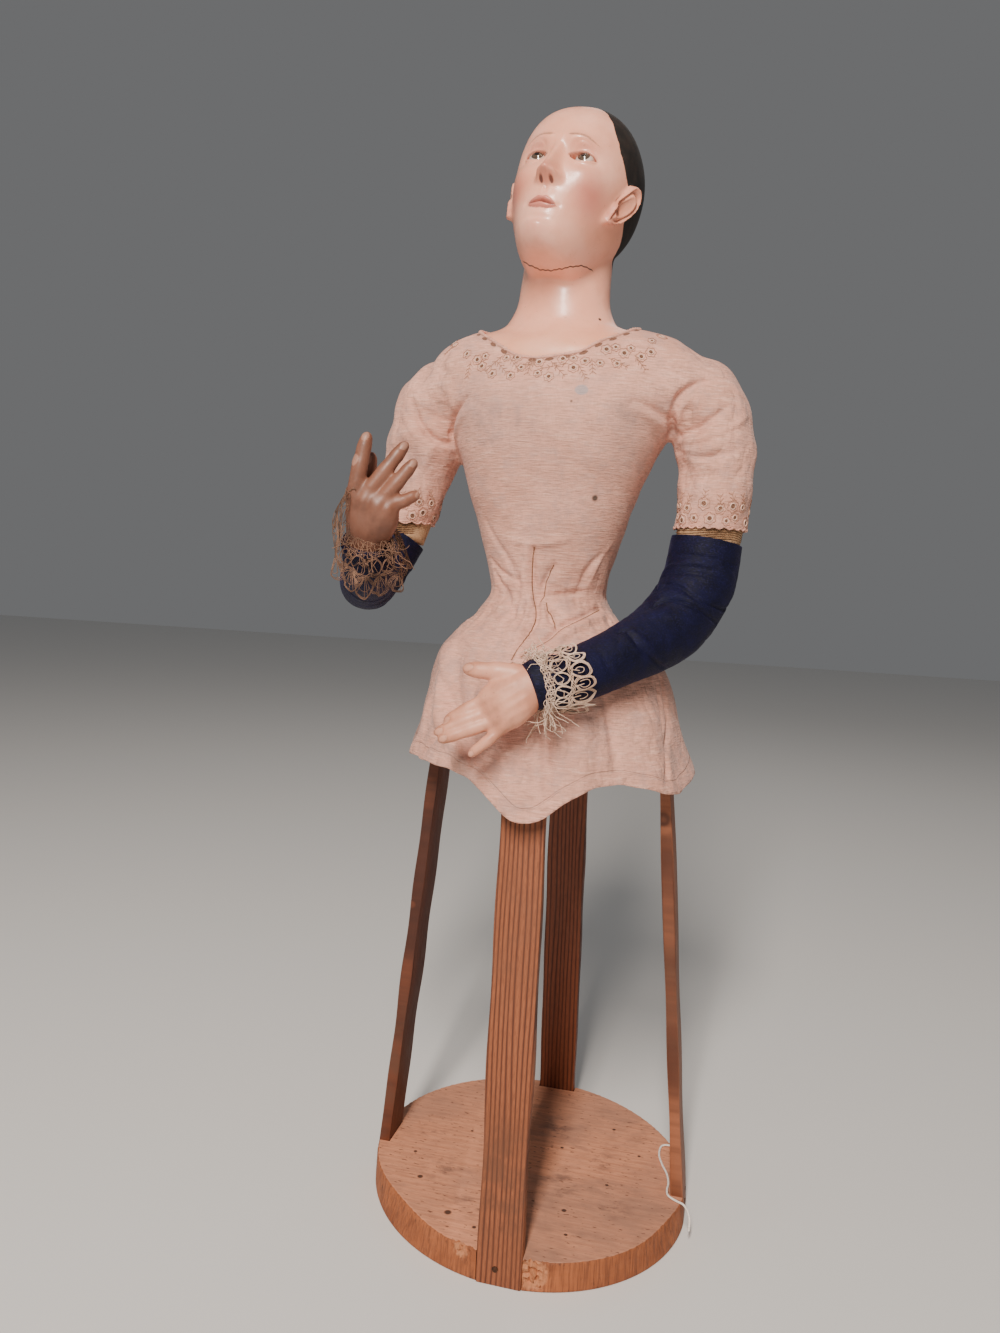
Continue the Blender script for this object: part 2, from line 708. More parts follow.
# %% The body's measures
trunk_rows = [
    (358, -1, 0, 79, 79, 79), (380, -1, 0, 81, 80, 79), (402, -4, 0, 79, 75, 72), (418, -7, 0, 71, 65, 61),
    (430, -8, 0, 60, 54, 49), (442, -9, 0, 46.5, 43, 38), (455, -9, 0, 40, 36, 32),
    (476, -9, 0, 43.5, 39, 34), (505, -9, 0, 52, 45, 38), (535, -9, -1, 61.5, 51, 43),
    (562, -7, -2, 72, 57, 47), (586, -5, -3, 82, 58, 46), (607, -4, -2, 87, 53, 42),
    (624, -5, -1, 83, 45, 36), (638, -7, 0, 66, 35, 30), (650, -9, 1, 40, 29, 26),
]
shoulder_rows = [
    (-104, -2, 596, 24, 24, 24), (-88, -2, 605, 31, 32, 29), (-60, -2, 613, 33, 41, 35),
    (-9, -2, 618, 32, 46, 38), (44, -2, 614, 32, 41, 35), (76, -2, 607, 31, 32, 29),
    (94, -2, 600, 25, 24, 24),
]
arms = {
    "left": dict(
        upper=[(70, 0, 607), (94, 0, 598), (104.5, 0, 570), (107.5, -1, 538), (104.5, -3, 498)],
        upper_radii=[21, 26.5, 26, 24, 22.5], sleeve_end=509,
        lower=[(103.5, -3, 498), (100, -6, 471), (84, -29, 440), (54, -72, 419), (24.5, -101, 404)],
        lower_radii=[25, 26, 25, 19.3, 17.3]),
    "right": dict(
        upper=[(-84, 0, 604), (-100, 0, 593), (-109, -2, 562), (-117, -5, 530), (-125, -9, 494)],
        upper_radii=[26, 28.5, 27, 23, 19.8], sleeve_end=505,
        lower=[(-125, -9, 494), (-135, -16, 473), (-134, -43, 461), (-117.5, -86, 464), (-103, -124, 474)],
        lower_radii=[20.4, 20.6, 20.4, 18.8, 16.8]),
}


def trunk_form(grow, low, high=700, segments=96):
    rows = [row for row in smooth(trunk_rows, 4) if low - 0.01 <= row[0] <= high]
    return loft([level_ring(x, y, z, [half + grow] * 2 + [front + grow, back + grow], 2.2)
                 for z, x, y, half, front, back in rows], segments)


def shoulder_form(grow, segments=64):
    def upright(x, y, z, half, front, back):
        def section(turn):
            up, ahead = superellipse(turn, [half + grow] * 2 + [front + grow, back + grow])
            return x, y - ahead, z + up
        return section
    return loft([upright(*row) for row in smooth(shoulder_rows, 4)], segments)


# %% [markdown]
# ## The stuffed body and arms
# Coarse beige cloth over a hard stuffing. The body is almost wholly dressed and shows only
# from below; the arms show as a short band between the white sleeve and the silk one, with
# brown thread wound round them. The forms are fused lofts, and the cloth's weave is noise
# stretched along and across them.

# %% The stuffing's finish
f = Finish("stuffing")
weft = f.noise(1500, 2, 0.6, f.stretched(0.25, 0.25, 1.0))
warp = f.noise(1500, 2, 0.6, f.stretched(1.0, 1.0, 0.2))
patches = f.noise(45, 3, 0.6)
colour = f.mix(patches.between(0.3, 0.75), (0.58, 0.37, 0.21), (0.40, 0.24, 0.13))
colour = f.mix(weft.most(warp).between(0.5, 0.75, 0.0, 0.45), colour, (0.22, 0.12, 0.06))
stuffing = f.set(Base_Color=colour, Roughness=0.9, Normal=f.bump(weft + warp, 0.6, 0.8))

# %% The stuffed body
body = fused([trunk_form(-5.0, 358, 601), shoulder_form(-5.0)], 5)
soften(body, 4)
torso = piece("torso_stuffed", body, stuffing, "stuffing", "torso")

# %% The stuffed arms
def arm_shape(share, turn):
    """Slimmer inside the white sleeve, so that no stuffing comes through the linen."""
    return 0.8 + 0.2 * float(smoothstep(0.74, 0.88, share)) + 0.012 * math.sin(3 * turn + 9 * share)


for side, arm in arms.items():
    stuffed = limb(arm["upper"], arm["upper_radii"], 40, 48, wide=(0, 1, 0), grow=-0.2, shape=arm_shape)
    trim(stuffed, lambda places: 598 - places[:, 2])
    bmesh.ops.holes_fill(stuffed, edges=[edge for edge in stuffed.edges if edge.is_boundary], sides=0)
    made = piece(f"arm_{side}_stuffed", stuffed, stuffing, "stuffing", f"arm_{side}")

# %% [markdown]
# ## The chemise
# One short linen garment: a close bodice, set-in sleeves and a skirt gathered at the waist
# whose hem dips in front. It is modelled as a skin. Lofts for the skirt, the body and the
# sleeves are fused with a voxel remesh, so the sleeves grow out of the body without a
# crease, and the hem, neckline and sleeve ends are then cut along exact curves.

# %% The chemise's skin
skirt_rows = [
    (454, -9, 42.5, 38.5, 34.5), (442, -9, 50, 46, 41.5), (430, -8, 64.5, 58.5, 53),
    (418, -7, 76.5, 70, 66.5), (402, -4.5, 85.5, 81.5, 80.5), (378, -3, 92.5, 90, 90),
    (354, -1.5, 98.5, 97, 97), (338, 0, 106, 103, 102.5),
]
HEM_HEIGHT = 338.0
LINEN_THICKNESS = 1.1
neckline = dict(x=-9, y=-12, wide=57.5, deep=39.5)


def hem_drop(turn):
    """How far the hem hangs below its highest line, by the angle round from the front."""
    total = 0
    for centre, width, depth in ((2, 17, 29), (66, 20, 12), (122, 18, 9), (180, 22, 18), (-120, 20, 9)):
        away = np.arctan2(np.sin(turn - math.radians(centre)), np.cos(turn - math.radians(centre)))
        total = total + depth * np.exp(-((away / math.radians(width)) ** 2))
    return total


def skirt_ring(z, x, half, front, back, grow=1.4, lower=0.0):
    def section(turn):
        across, ahead = superellipse(turn, [half + grow] * 2 + [front + grow, back + grow])
        drop = max(0, (402 - z) / 64) ** 1.5 * float(hem_drop(math.atan2(across, ahead)))
        out = 1 + drop * 0.0016
        return x + across * out, -ahead * out, z - drop - lower
    return section


parts = [
    loft([skirt_ring(*row) for row in smooth(skirt_rows, 4)] + [skirt_ring(*skirt_rows[-1], lower=12)],
         128),
    trunk_form(1.9, 430),
    shoulder_form(1.9),
]
for arm in arms.values():
    end = np.array(arm["upper"][-1]) * 2 - np.array(arm["upper"][-2])
    parts.append(limb(arm["upper"] + [end], arm["upper_radii"] + [22.5], 44, 48, wide=(0, 1, 0), grow=2.0))
chemise = fused(parts, 2.6)
soften(chemise, 5)
places = points_of(chemise)
print("chemise skin", len(places), "points")

# %% [markdown]
# The cloth is drawn in at the waist with stitched tucks that run down to the middle of the
# front, it wrinkles where the arms meet the body, and the skirt hangs in soft flutes. Each
# fold is a line of places on the garment: the skin moves in or out by its distance from it.

# %% Folds and tucks
tucks = [
    [(-12, -43, 490), (-13, -41, 480), (-12, -39, 466), (-9, -40, 453), (-6, -49, 440), (-11, -62, 428),
     (-15, -68, 421), (-17, -74, 413)],
    [(2, -40, 478), (-4, -39, 467), (-8, -40, 453)],
    [(-2, -40, 452), (1, -44, 445), (4, -48, 440), (9, -51, 436)],
    [(33, -19, 449), (24, -35, 444), (17, -44, 440), (10, -51, 435), (6, -59, 430), (-1, -65, 424),
     (-8, -70, 419), (-11, -73, 415)],
    [(-6, -38, 456), (10, -35, 458), (22, -28, 460)],
    [(-47, -25, 481), (-38, -32, 472), (-24, -37, 466)],
    [(-44, -26, 472), (-30, -36, 453), (-22, -49, 439)],
]
folds = [(line, -1.7, 2.2) for line in tucks[:4]] + [(line, -1.1, 2.2) for line in tucks[4:]] + [
    ([(-18, -42, 488), (-19, -39, 466), (-16, -40, 453), (-14, -50, 440), (-20, -62, 428)], 1.3, 3.2),
    ([(38, -20, 445), (26, -38, 438), (16, -52, 429), (4, -68, 418)], 1.5, 3.4),
    ([(-32, -41, 495), (-11, -44, 492), (11, -42, 497)], 0.9, 3.0),
    ([(-66, -46, 592), (-80, -29, 579), (-82, -16, 567)], -2.3, 2.3),
    ([(-60, -48, 585), (-72, -38, 576), (-80, -22, 566)], 1.0, 2.6),
    ([(-82, -14, 563), (-94, -26, 566), (-106, -29, 579), (-112, -26, 594)], -1.9, 2.4),
    ([(-84, -16, 560), (-96, -28, 561), (-110, -30, 571), (-120, -26, 584)], 1.2, 2.6),
    ([(-84, -22, 553), (-100, -29, 557), (-118, -27, 570)], 1.3, 4.5),
    ([(97, -27, 608), (84, -31, 600), (79, -32, 593), (76, -24, 584), (75, -9, 577)], -2.3, 2.3),
    ([(88, -30, 596), (82, -30, 586), (80, -20, 577)], 1.1, 2.4),
    ([(52, -50, 590), (66, -40, 586), (76, -24, 580)], -1.2, 2.4),
    ([(56, -50, 584), (68, -38, 578), (76, -20, 572)], 1.0, 2.8),
    ([(-58, -40, 505), (-44, -38, 494), (-30, -38, 478), (-22, -38, 462)], -0.8, 2.6),
    ([(38, -24, 488), (30, -33, 478), (24, -36, 464), (20, -38, 450)], -0.8, 2.4),
    ([(44, -22, 492), (37, -29, 480), (31, -32, 464)], 0.7, 2.4),
    ([(-92, -30, 535), (-108, -31, 545), (-128, -24, 560)], -0.9, 4.0),
    ([(-96, -28, 520), (-112, -30, 527), (-132, -22, 540)], 0.8, 4.0),
    ([(83, -16, 572), (97, -26, 578), (112, -24, 590)], -1.8, 2.4),
    ([(82, -14, 568), (98, -26, 569), (116, -24, 577), (126, -14, 586)], 1.2, 2.6),
    ([(82, -12, 562), (98, -26, 556), (118, -22, 560)], -1.3, 2.5),
    ([(84, -12, 560), (100, -26, 562), (120, -20, 572)], 1.3, 4.5),
    ([(-73, -40, 415), (-68, -61, 389), (-66, -70, 370), (-43, -94, 342)], 2.4, 7.0),
    ([(-61, -52, 415), (-56, -72, 389), (-50, -83, 370), (-28, -100, 342)], -1.6, 6.0),
    ([(77, -29, 402), (86, -41, 359), (88, -52, 330)], -0.8, 2.2),
    ([(20, -74, 408), (34, -82, 372), (40, -98, 335)], 1.8, 8.0),
    ([(-75, -47, 402), (-64, -65, 388), (-58, -76, 370), (-69, -72, 354), (-84, -62, 340)], -1.5, 3.4),
    ([(10, -80, 395), (10, -89, 378), (15, -96, 350), (20, -103, 326)], -1.9, 4.0),
    ([(80, -21, 401), (86, -24, 381), (88, -36, 358), (88, -58, 332)], -1.5, 3.2),
    ([(-52, -83, 359), (-38, -95, 342), (-30, -99, 332)], 1.6, 4.0),
    ([(-81, -50, 378), (-82, -56, 357), (-94, -49, 340)], 1.5, 4.0),
    ([(44, -71, 396), (54, -75, 371), (60, -82, 346)], -1.2, 3.6),
    ([(-19, -90, 373), (-12, -97, 348), (-5, -105, 324)], 1.2, 5.0),
]
BODICE_DEPTH, SKIRT_DEPTH = 1.8, 2.3
plain_tree = BVHTree.FromBMesh(chemise)
folds = [(laid(plain_tree, line), height, width) for line, height, width in folds]
to_folds = [distance_to_line(places, line)[0] / width for line, height, width in folds if width < 4]
near_fold = np.min(to_folds, axis=0) < 2.2
near_verts = {vert for vert, near in zip(chemise.verts, near_fold) if near}
fine_edges = [edge for edge in chemise.edges if edge.verts[0] in near_verts and edge.verts[1] in near_verts]
bmesh.ops.subdivide_edges(chemise, edges=fine_edges, cuts=1, use_grid_fill=True)
chemise.normal_update()
places = points_of(chemise)
print("with finer folds", len(places), "points")

# %% [markdown]
# Gathers, flutes and the fans of creases at the armpits repeat, so they are waves of the angle
# round the body, and not lines. The skin moves once, by the sum of all.

# %% The cloth's shape
shift = np.zeros(len(places))
for line, height, width in folds:
    away, along = distance_to_line(places, line)
    length = along.max()
    taper = np.sin(np.pi * np.clip(0.12 + 0.76 * along / length, 0, 1)) ** 0.7
    shift += (BODICE_DEPTH if line[0][2] > 420 else SKIRT_DEPTH) * height * taper * bell(away, 0, width)
x, y, z = places.T
turn = np.arctan2(x + 9, -y)
gathers = np.sin(turn * 23 + 2 * np.sin(turn * 5)) * np.sin(turn * 9 + 1) * bell(z, 449, 18) * 0.6
pleats = 0.6 - np.abs(np.sin(turn * 17 + 1.5 * np.sin(turn * 4) + z * 0.02)) ** 0.6
gathers += pleats * bell(z, 441, 24) * 1.5
gathers *= np.where(z < 500, 1, 0) * smoothstep(80, 60, np.hypot(x + 9, y))
gathers *= smoothstep(1, 9, np.min([distance_to_line(places, line)[0] for line, _, _ in folds[:4]], axis=0))
flutes = (2.5 * np.sin(turn * 7 + 0.6) + 1.5 * np.sin(turn * 12 + 2.2)) * smoothstep(408, 345, z)
flutes *= 0.35 + 0.65 * smoothstep(0.5, 1.2, np.abs(turn))
creases = np.sin(z * 0.21 + x * 0.05 + 3 * np.sin(y * 0.04)) * np.sin(z * 0.043 + x * 0.09) * 0.4
sleeve = smoothstep(72, 84, np.abs(x + 2)) * smoothstep(480, 500, z)
over, up = np.abs(x + 2) - 80, z - 570
apart = np.hypot(over, up)
ray = np.arctan2(up, over)
fans = np.sin(ray * 3.6 + 1.1 * np.sin(apart * 0.07 + x * 0.02) + 0.5 * np.sin(y * 0.12))
drag = 0.6 - np.abs(fans) ** 0.7
creases += drag * 2.6 * smoothstep(9, 24, apart) * smoothstep(60, 20, apart) * smoothstep(-14, -2, over)
creases += sleeve * 1.0 * np.sin(z * 0.16 + x * 0.11 - y * 0.13) * np.sin(z * 0.05 - x * 0.13 + y * 0.09)
places += normals_of(chemise) * (shift + gathers + flutes + creases)[:, None]
move_points(chemise, places)
print("folds and gathers move the cloth by up to", round(float(np.abs(shift + gathers).max()), 1), "mm")

# %% [markdown]
# Each opening lies where a function of place is 0. The mesh is split exactly there, which
# gives an even edge on coarse faces; deleting faces would leave steps.

# %% Cutting the hem, the neckline and the sleeve ends
def past_hem(places):
    turn = np.arctan2(places[:, 0], -places[:, 1])
    return (places[:, 2] - (HEM_HEIGHT - hem_drop(turn)) - 0.3 * np.sin(turn * 31)
            - 0.4 * np.sin(turn * 6 + 1))


def past_neckline(places):
    across = (places[:, 0] - neckline["x"]) / neckline["wide"]
    ahead = (places[:, 1] - neckline["y"]) / neckline["deep"]
    return np.where(places[:, 2] > 600, (np.hypot(across, ahead) - 1) * neckline["deep"], 1.0)


def past_sleeves(places):
    x, y, z = places.T
    around = np.arctan2(y + 3, np.abs(x) - 107)
    scallops = np.abs(np.sin(around * 11 + 0.6 * np.sin(around * 3))) * 2.2
    end = np.where(x > 0, arms["left"]["sleeve_end"], arms["right"]["sleeve_end"])
    return np.where((np.abs(x) > 70) & (z > 436) & (z < 540), z - end + scallops - 1.4, 1.0)


for past in (past_hem, past_neckline, past_sleeves):
    trim(chemise, past)
openings = edge_lines(chemise)
print("open edges", [(len(line), [round(v) for v in line.mean(axis=0)]) for line in openings])

# %% [markdown]
# The finish needs to know how far each place is from the edges, for the stitches that
# follow them, so the skin carries those distances as values.

# %% Distances to the edges
def edge_near(height, side=0):
    """The open edge near a height, on one side of the body where side is given."""
    return next(line for line in openings
                if abs(line[:, 2].mean() - height) < 22 and (not side or line[:, 0].mean() * side > 60))


neck_edge = edge_near(628)
hem_edge = edge_near(325)
sleeve_edges = {"left": edge_near(509, 1), "right": edge_near(505, -1)}
places = points_of(chemise)
for name, line in (("neck", neck_edge), ("hem", hem_edge),
                   ("sleeve_left", sleeve_edges["left"]), ("sleeve_right", sleeve_edges["right"])):
    write_values(chemise, name + "_away", distance_to_line(places, line)[0])
neck_length = sum(np.linalg.norm(b - a) for a, b in zip(neck_edge, neck_edge[1:]))
neck_turns = 2 * np.pi * round(neck_length / 11.5) / neck_length
write_values(chemise, "neck_beat", np.sin(neck_turns * distance_to_line(places, neck_edge)[1]))
print("neckline", round(neck_length), "mm round")
write_values(chemise, "tuck_away", np.min([distance_to_line(places, line)[0] for line in tucks[:4]],
                                          axis=0))
x, y, z = places.T
on_sleeves = smoothstep(68, 84, np.abs(x + 3)) * smoothstep(480, 500, z)
on_skirt = np.maximum(bell(z, 452, 30), smoothstep(430, 400, z) * 0.8)
write_values(chemise, "crumple", np.clip(np.maximum(on_sleeves, on_skirt), 0.06, 1))

# %% [markdown]
# Plain-woven linen, slubby, worn and greyed. Two noises stretched across each other are weft
# and warp, dirt has its own places, and the slots round the neck follow the skin's distances.

# %% The linen's finish
def linen_finish():
    f = Finish("linen")
    weft = f.noise(820, 3, 0.6, f.stretched(0.18, 0.18, 1.5))
    warp = f.noise(900, 2, 0.6, f.stretched(1.0, 1.0, 0.12))
    slubs = f.noise(380, 3, 0.6, f.stretched(0.2, 0.2, 1.9))
    patches = f.noise(26, 4, 0.6)
    colour = f.mix(patches.between(0.3, 0.7), (0.79, 0.41, 0.315), (0.66, 0.325, 0.24))
    colour = f.over(
        colour,
        (slubs.between(0.5, 0.66, 0.0, 0.5), (0.88, 0.54, 0.43)),
        (weft.between(0.46, 0.66, 0.0, 0.6), (0.44, 0.23, 0.17)),
        (warp.between(0.5, 0.68, 0.0, 0.3), (0.50, 0.28, 0.21)),
        (f.noise(55, 5, 0.7).between(0.48, 0.66, 0.0, 0.5), (0.48, 0.30, 0.26)),
    )
    long_folds, small_folds = f.noise(34, 3, 0.5, f.stretched(1.0, 1.0, 0.5)), f.noise(52, 2, 0.5)
    fold = (long_folds - 0.5).size() + (small_folds - 0.5).size() * 0.6
    crumple = f.value("crumple")
    colour = f.mix(fold.between(0.0, 0.05, 1.0, 0.0) * crumple * 0.45, colour, (0.40, 0.21, 0.15))
    dirt = f.noise(90, 4, 0.65).between(0.45, 0.75)
    for centre, reach, strength in (
            ((-56, -50, 582), 30, 0.7), ((47, -51, 583), 18, 0.6), ((18, -58, 595), 17, 0.35),
            ((-30, -58, 578), 34, 0.45), ((-10, -58, 560), 55, 0.35), ((10, -52, 500), 60, 0.4),
            ((-80, -50, 345), 30, 0.25), ((44, -36, 566), 40, 0.5), ((20, -80, 362), 60, 0.4),
            ((-115, -25, 545), 45, 0.35), ((90, -30, 360), 40, 0.2)):
        colour = f.mix(f.near(centre, reach, 0.9) * (dirt * 0.6 + 0.4) * strength, colour,
                       (0.33, 0.21, 0.18))
    grey = f.node("ShaderNodeVectorMath", {"operation": "DISTANCE"}, {
        0: f.stretched(1.0, 1.0, 1.25), 1: (0.018, -0.0585, 0.595 * 1.25)}, "Value")
    stain = grey.between(0.0038, 0.0052, 1.0, 0.0)
    colour = f.over(
        colour,
        (stain * (dirt * 0.35 + 0.6), (0.30, 0.31, 0.34)),
        (f.near((29, -43, 525), 3.0, 0.5), (0.10, 0.06, 0.045)),
        (f.near((12, -61, 587), 1.6, 0.5), (0.16, 0.09, 0.06)),
    )
    neck = f.value("neck_away")
    from_slots = neck - 2.3
    dash = (f.value("neck_beat") - from_slots * from_slots * 0.5).between(-0.15, 0.2)
    colour = f.mix(dash * 0.9, colour, (0.15, 0.06, 0.03))
    rolled = neck.between(0.0, 2.2, 1.0, 0.0)
    hem = f.value("hem_away")
    hem_line = hem.between(8.2, 8.8) * hem.between(9.4, 10.0, 1.0, 0.0)
    colour = f.mix(hem_line * 0.07, colour, (0.42, 0.28, 0.21))
    tuck = f.value("tuck_away").between(0.3, 1.8, 1.0, 0.0)
    colour = f.mix(tuck * 0.6, colour, (0.26, 0.12, 0.075))
    for name in ("sleeve_left_away", "sleeve_right_away"):
        edge = f.value(name).between(0.0, 1.2, 1.0, 0.0)
        colour = f.mix(edge * 0.4, colour, (0.55, 0.40, 0.30))
    relief = weft * 0.7 + warp * 0.4 + slubs * 0.9 + rolled * 1.5 - hem_line - dash * 2.4
    folded = f.bump(fold.least(0.16) * crumple, 10.0, 0.8)
    return f.set(Base_Color=colour, Roughness=0.88, Sheen_Weight=0.12, Sheen_Roughness=0.5,
                 Normal=f.bump(relief, 0.7, 0.9, folded))


linen = linen_finish()
skin_tree = BVHTree.FromBMesh(chemise)
trees = {"linen": skin_tree}
area = sum(face.calc_area() for face in chemise.faces)
print("chemise cloth", round(area, 4), "m2")
chemise_piece = piece("chemise", chemise, linen, "linen", "chemise_bodice", "chemise_skirt",
                      "chemise_sleeve_left", "chemise_sleeve_right")
thickness = chemise_piece.modifiers.new("thickness", "SOLIDIFY")
thickness.thickness = LINEN_THICKNESS * MM
thickness.offset = -1

# %% [markdown]
# ## Eyelets and stitched twigs
# The neckline and the sleeve ends are worked with eyelets: a hole bound with thread, and a
# stitched outline round it. Thread is a curve with a round bevel, made a mesh once it is
# finished. Each place is dropped onto the linen first, so the thread lies on the cloth.

# %% Thread
def thread_curve(name, lines, radius, resolution):
    """A curve with round threads along lines in mm, each (places, closed) or (places, closed, sizes)."""
    curve = bpy.data.curves.new(name, "CURVE")
    curve.dimensions = "3D"
    curve.bevel_depth = radius * MM
    curve.bevel_resolution = resolution
    curve.use_fill_caps = True
    for line, closed, *sizes in lines:
        spline = curve.splines.new("POLY")
        spline.points.add(len(line) - 1)
        for k, (point, place) in enumerate(zip(spline.points, line)):
            point.co = (*(Vector(place) * MM), 1)
            point.radius = sizes[0][k] if sizes else 1.0
        spline.use_cyclic_u = closed
    return curve


def threads(lines, radius, sides=5):
    """Threads as a mesh."""
    return as_mesh(in_scene("threads", thread_curve("threads", lines, radius, max(0, (sides - 4) // 2))))


def thread_finish(name, light, dark, fineness=900):
    """Spun thread in two tones that follow its twist."""
    f = Finish(name)
    twist = f.noise(fineness, 2, 0.6)
    return f.set(Base_Color=f.mix(twist.between(0.3, 0.7), light, dark), Roughness=0.85,
                 Normal=f.bump(twist, 0.3, 0.6))


def evenly(line, gap):
    """A closed line's places, set again at an even gap, and how far along it each is."""
    runs = np.concatenate([[0], np.cumsum(np.linalg.norm(np.diff(line, axis=0), axis=1))])
    spots = np.linspace(0, runs[-1], max(8, round(runs[-1] / gap)), endpoint=False)
    return np.stack([np.interp(spots, runs, line[:, k]) for k in range(3)], axis=1), spots


def onto(tree, place, lift=0.2):
    """The nearest place on a surface, lifted a little off it, and which way the surface faces there."""
    spot, normal, _, _ = tree.find_nearest(Vector(place) * MM)
    return spot / MM + normal * lift, normal


def eyelet(place, size, wobble):
    """The bound ring, the outline round it and the hole of one eyelet, in the cloth."""
    centre, normal = onto(skin_tree, place)
    across = normal.cross(Vector((0, 0, 1))).normalized()
    up = across.cross(normal)
    rings = []
    for radius, ripple, count in ((1.75, 0.0, 12), (3.5, 0.13, 22)):
        ring = []
        for k in range(count):
            turn = 2 * math.pi * k / count
            reach = radius * size * (1 + ripple * math.sin(turn * 6 + wobble))
            spot = centre + across * (math.cos(turn) * reach) + up * (math.sin(turn) * reach)
            ring.append(onto(skin_tree, spot)[0])
        rings.append(ring)
    return centre, normal, rings


# %% [markdown]
# The raw edges are rolled and oversewn, which puckers them. A thread that swells at every
# stitch catches the light as they do, which a bump could not.

# %% Rolled edges
edge_rolls = []
for line, size, pucker in (
        (neck_edge, 1.15, 3.1), (sleeve_edges["left"], 0.6, 2.4), (sleeve_edges["right"], 0.6, 2.4)):
    spots, run = evenly(line, 0.8)
    sizes = size * (1 + 0.20 * np.sin(2 * np.pi * run / pucker + 2 * np.sin(run * 0.11))
                    + 0.12 * np.sin(run * 0.37))
    edge_rolls.append(([onto(skin_tree, spot, 0.0)[0] for spot in spots], True, sizes))
rolled_edges = threads(edge_rolls, 1.0, 8)
bmesh.ops.recalc_face_normals(rolled_edges, faces=rolled_edges.faces[:])
for name in ("neck_away", "hem_away", "tuck_away", "sleeve_left_away", "sleeve_right_away"):
    write_values(rolled_edges, name, np.full(len(rolled_edges.verts), 99.0))
piece("chemise_rolled_edges", rolled_edges, linen, "linen")

# %% [markdown]
# Brown thread binds each stuffed arm above the silk. It is one long coil with a small sway,
# as an even spiral would look like a spring.

# %% Thread wound round the arms
windings = []
for side, arm in arms.items():
    line = []
    for k in range(150):
        share = 0.925 + 0.065 * k / 149 + 0.006 * math.sin(k * 0.25)
        turn = 2 * math.pi * k / 24
        radius = float(np.interp(share * 4, range(5), arm["upper_radii"])) + 0.15
        out = np.array([math.sin(turn), -math.cos(turn), 0.06 * math.sin(turn * 2)])
        line.append(along_line(arm["upper"], share) + out * radius)
    windings.append((line, False))
winding_thread = thread_finish("winding_thread", (0.26, 0.13, 0.06), (0.10, 0.045, 0.02), 1200)
piece("arm_windings", threads(windings, 0.42, 6), winding_thread, "stuffing")

# %% [markdown]
# In front each eyelet has its own place, because the real ones are unevenly set. Behind and
# round the sleeves a ray finds the cloth for each. Twigs of short stitches join them.

# %% Eyelets round the neckline and the sleeves
neck_eyelets = [
    (-68, -39, 623), (-59, -42, 618), (-53, -43, 620), (-55, -45, 613), (-46, -51, 607), (-37, -48, 618),
    (-29, -49, 618), (-32, -55, 605), (-25, -53, 610), (-13, -52, 614), (-13, -56, 606), (-5, -58, 604),
    (3, -51, 616), (10, -51, 617), (11, -54, 610), (18, -51, 615), (28, -50, 614), (31, -44, 624),
    (37, -43, 626), (39, -47, 614), (43, -43, 622), (47, -41, 626), (54, -40, 620), (60, -37, 624),
    (59, -30, 631),
]
twigs = [
    ((-44, -48, 616), (-35, -54, 607)), ((-34, -49, 617), (-26, -54, 608)),
    ((-24, -52, 612), (-16, -53, 613)), ((-5, -53, 615), (6, -57, 604)), ((7, -53, 613), (-12, -54, 609)),
    ((-40, -47, 620), (-52, -49, 609)), ((-18, -51, 617), (-20, -55, 605)),
    ((22, -49, 617), (24, -53, 606)), ((33, -47, 618), (46, -46, 612)), ((50, -42, 621), (58, -42, 611)),
    ((-64, -42, 617), (-66, -44, 606)), ((14, -53, 612), (20, -55, 602)),
]
for turn in np.radians(np.arange(74, 290, 9.5)):
    for row, step in ((1.12, 0.0), (1.32, 0.08)):
        place = (neckline["x"] + neckline["wide"] * row * math.sin(turn + step),
                 neckline["y"] - neckline["deep"] * row * math.cos(turn + step), 640)
        hit = skin_tree.ray_cast(Vector(place) * MM, Vector((0, 0, -1)))[0]
        if hit and hit.z > 0.6:
            neck_eyelets.append(tuple(hit / MM))
            if row > 1.3 and round(math.degrees(turn)) % 2:
                way = Vector((math.sin(turn) * 11, -math.cos(turn) * 11, -3))
                twigs.append((tuple(hit / MM), tuple(hit / MM + way)))
sleeve_eyelets = []
for side, arm in arms.items():
    sign = 1 if side == "left" else -1
    for k in range(26):
        angle = 2 * math.pi * k / 26 + 0.10 * math.sin(k * 7.3)
        rise = (6.0, 14.5)[k % 2] + 1.6 * math.sin(k * 5.1)
        centre = Vector((sign * (106 if side == "left" else 122), -6, arm["sleeve_end"] + rise))
        way = Vector((math.sin(angle), -math.cos(angle), 0))
        hit, _, _, away = skin_tree.ray_cast((centre + way * 36) * MM, -way, 30 * MM)
        if hit and (hit / MM - centre).length < 31:
            sleeve_eyelets.append(tuple(hit / MM))
            if k % 2:
                lean = 3.5 * math.sin(k * 2.9)
                foot, top = Vector((lean, 0, -2.5)), Vector((-lean, 0, 9))
                twigs.append((tuple(hit / MM + foot), tuple(hit / MM + top)))
bound, outlines, holes = [], [], bmesh.new()
for number, place in enumerate(neck_eyelets + sleeve_eyelets):
    size = (0.95 if number < len(neck_eyelets) else 1.05) * (1 + 0.14 * math.sin(number * 2.3))
    centre, normal, rings = eyelet(place, size, number * 1.7)
    bound.append((rings[0], True))
    outlines.append((rings[1], True))
    facing = normal.to_track_quat("Z", "Y").to_matrix().to_4x4()
    bmesh.ops.create_circle(holes, cap_ends=True, segments=10, radius=1.45 * size * MM,
                            matrix=Matrix.Translation(centre * MM) @ facing)
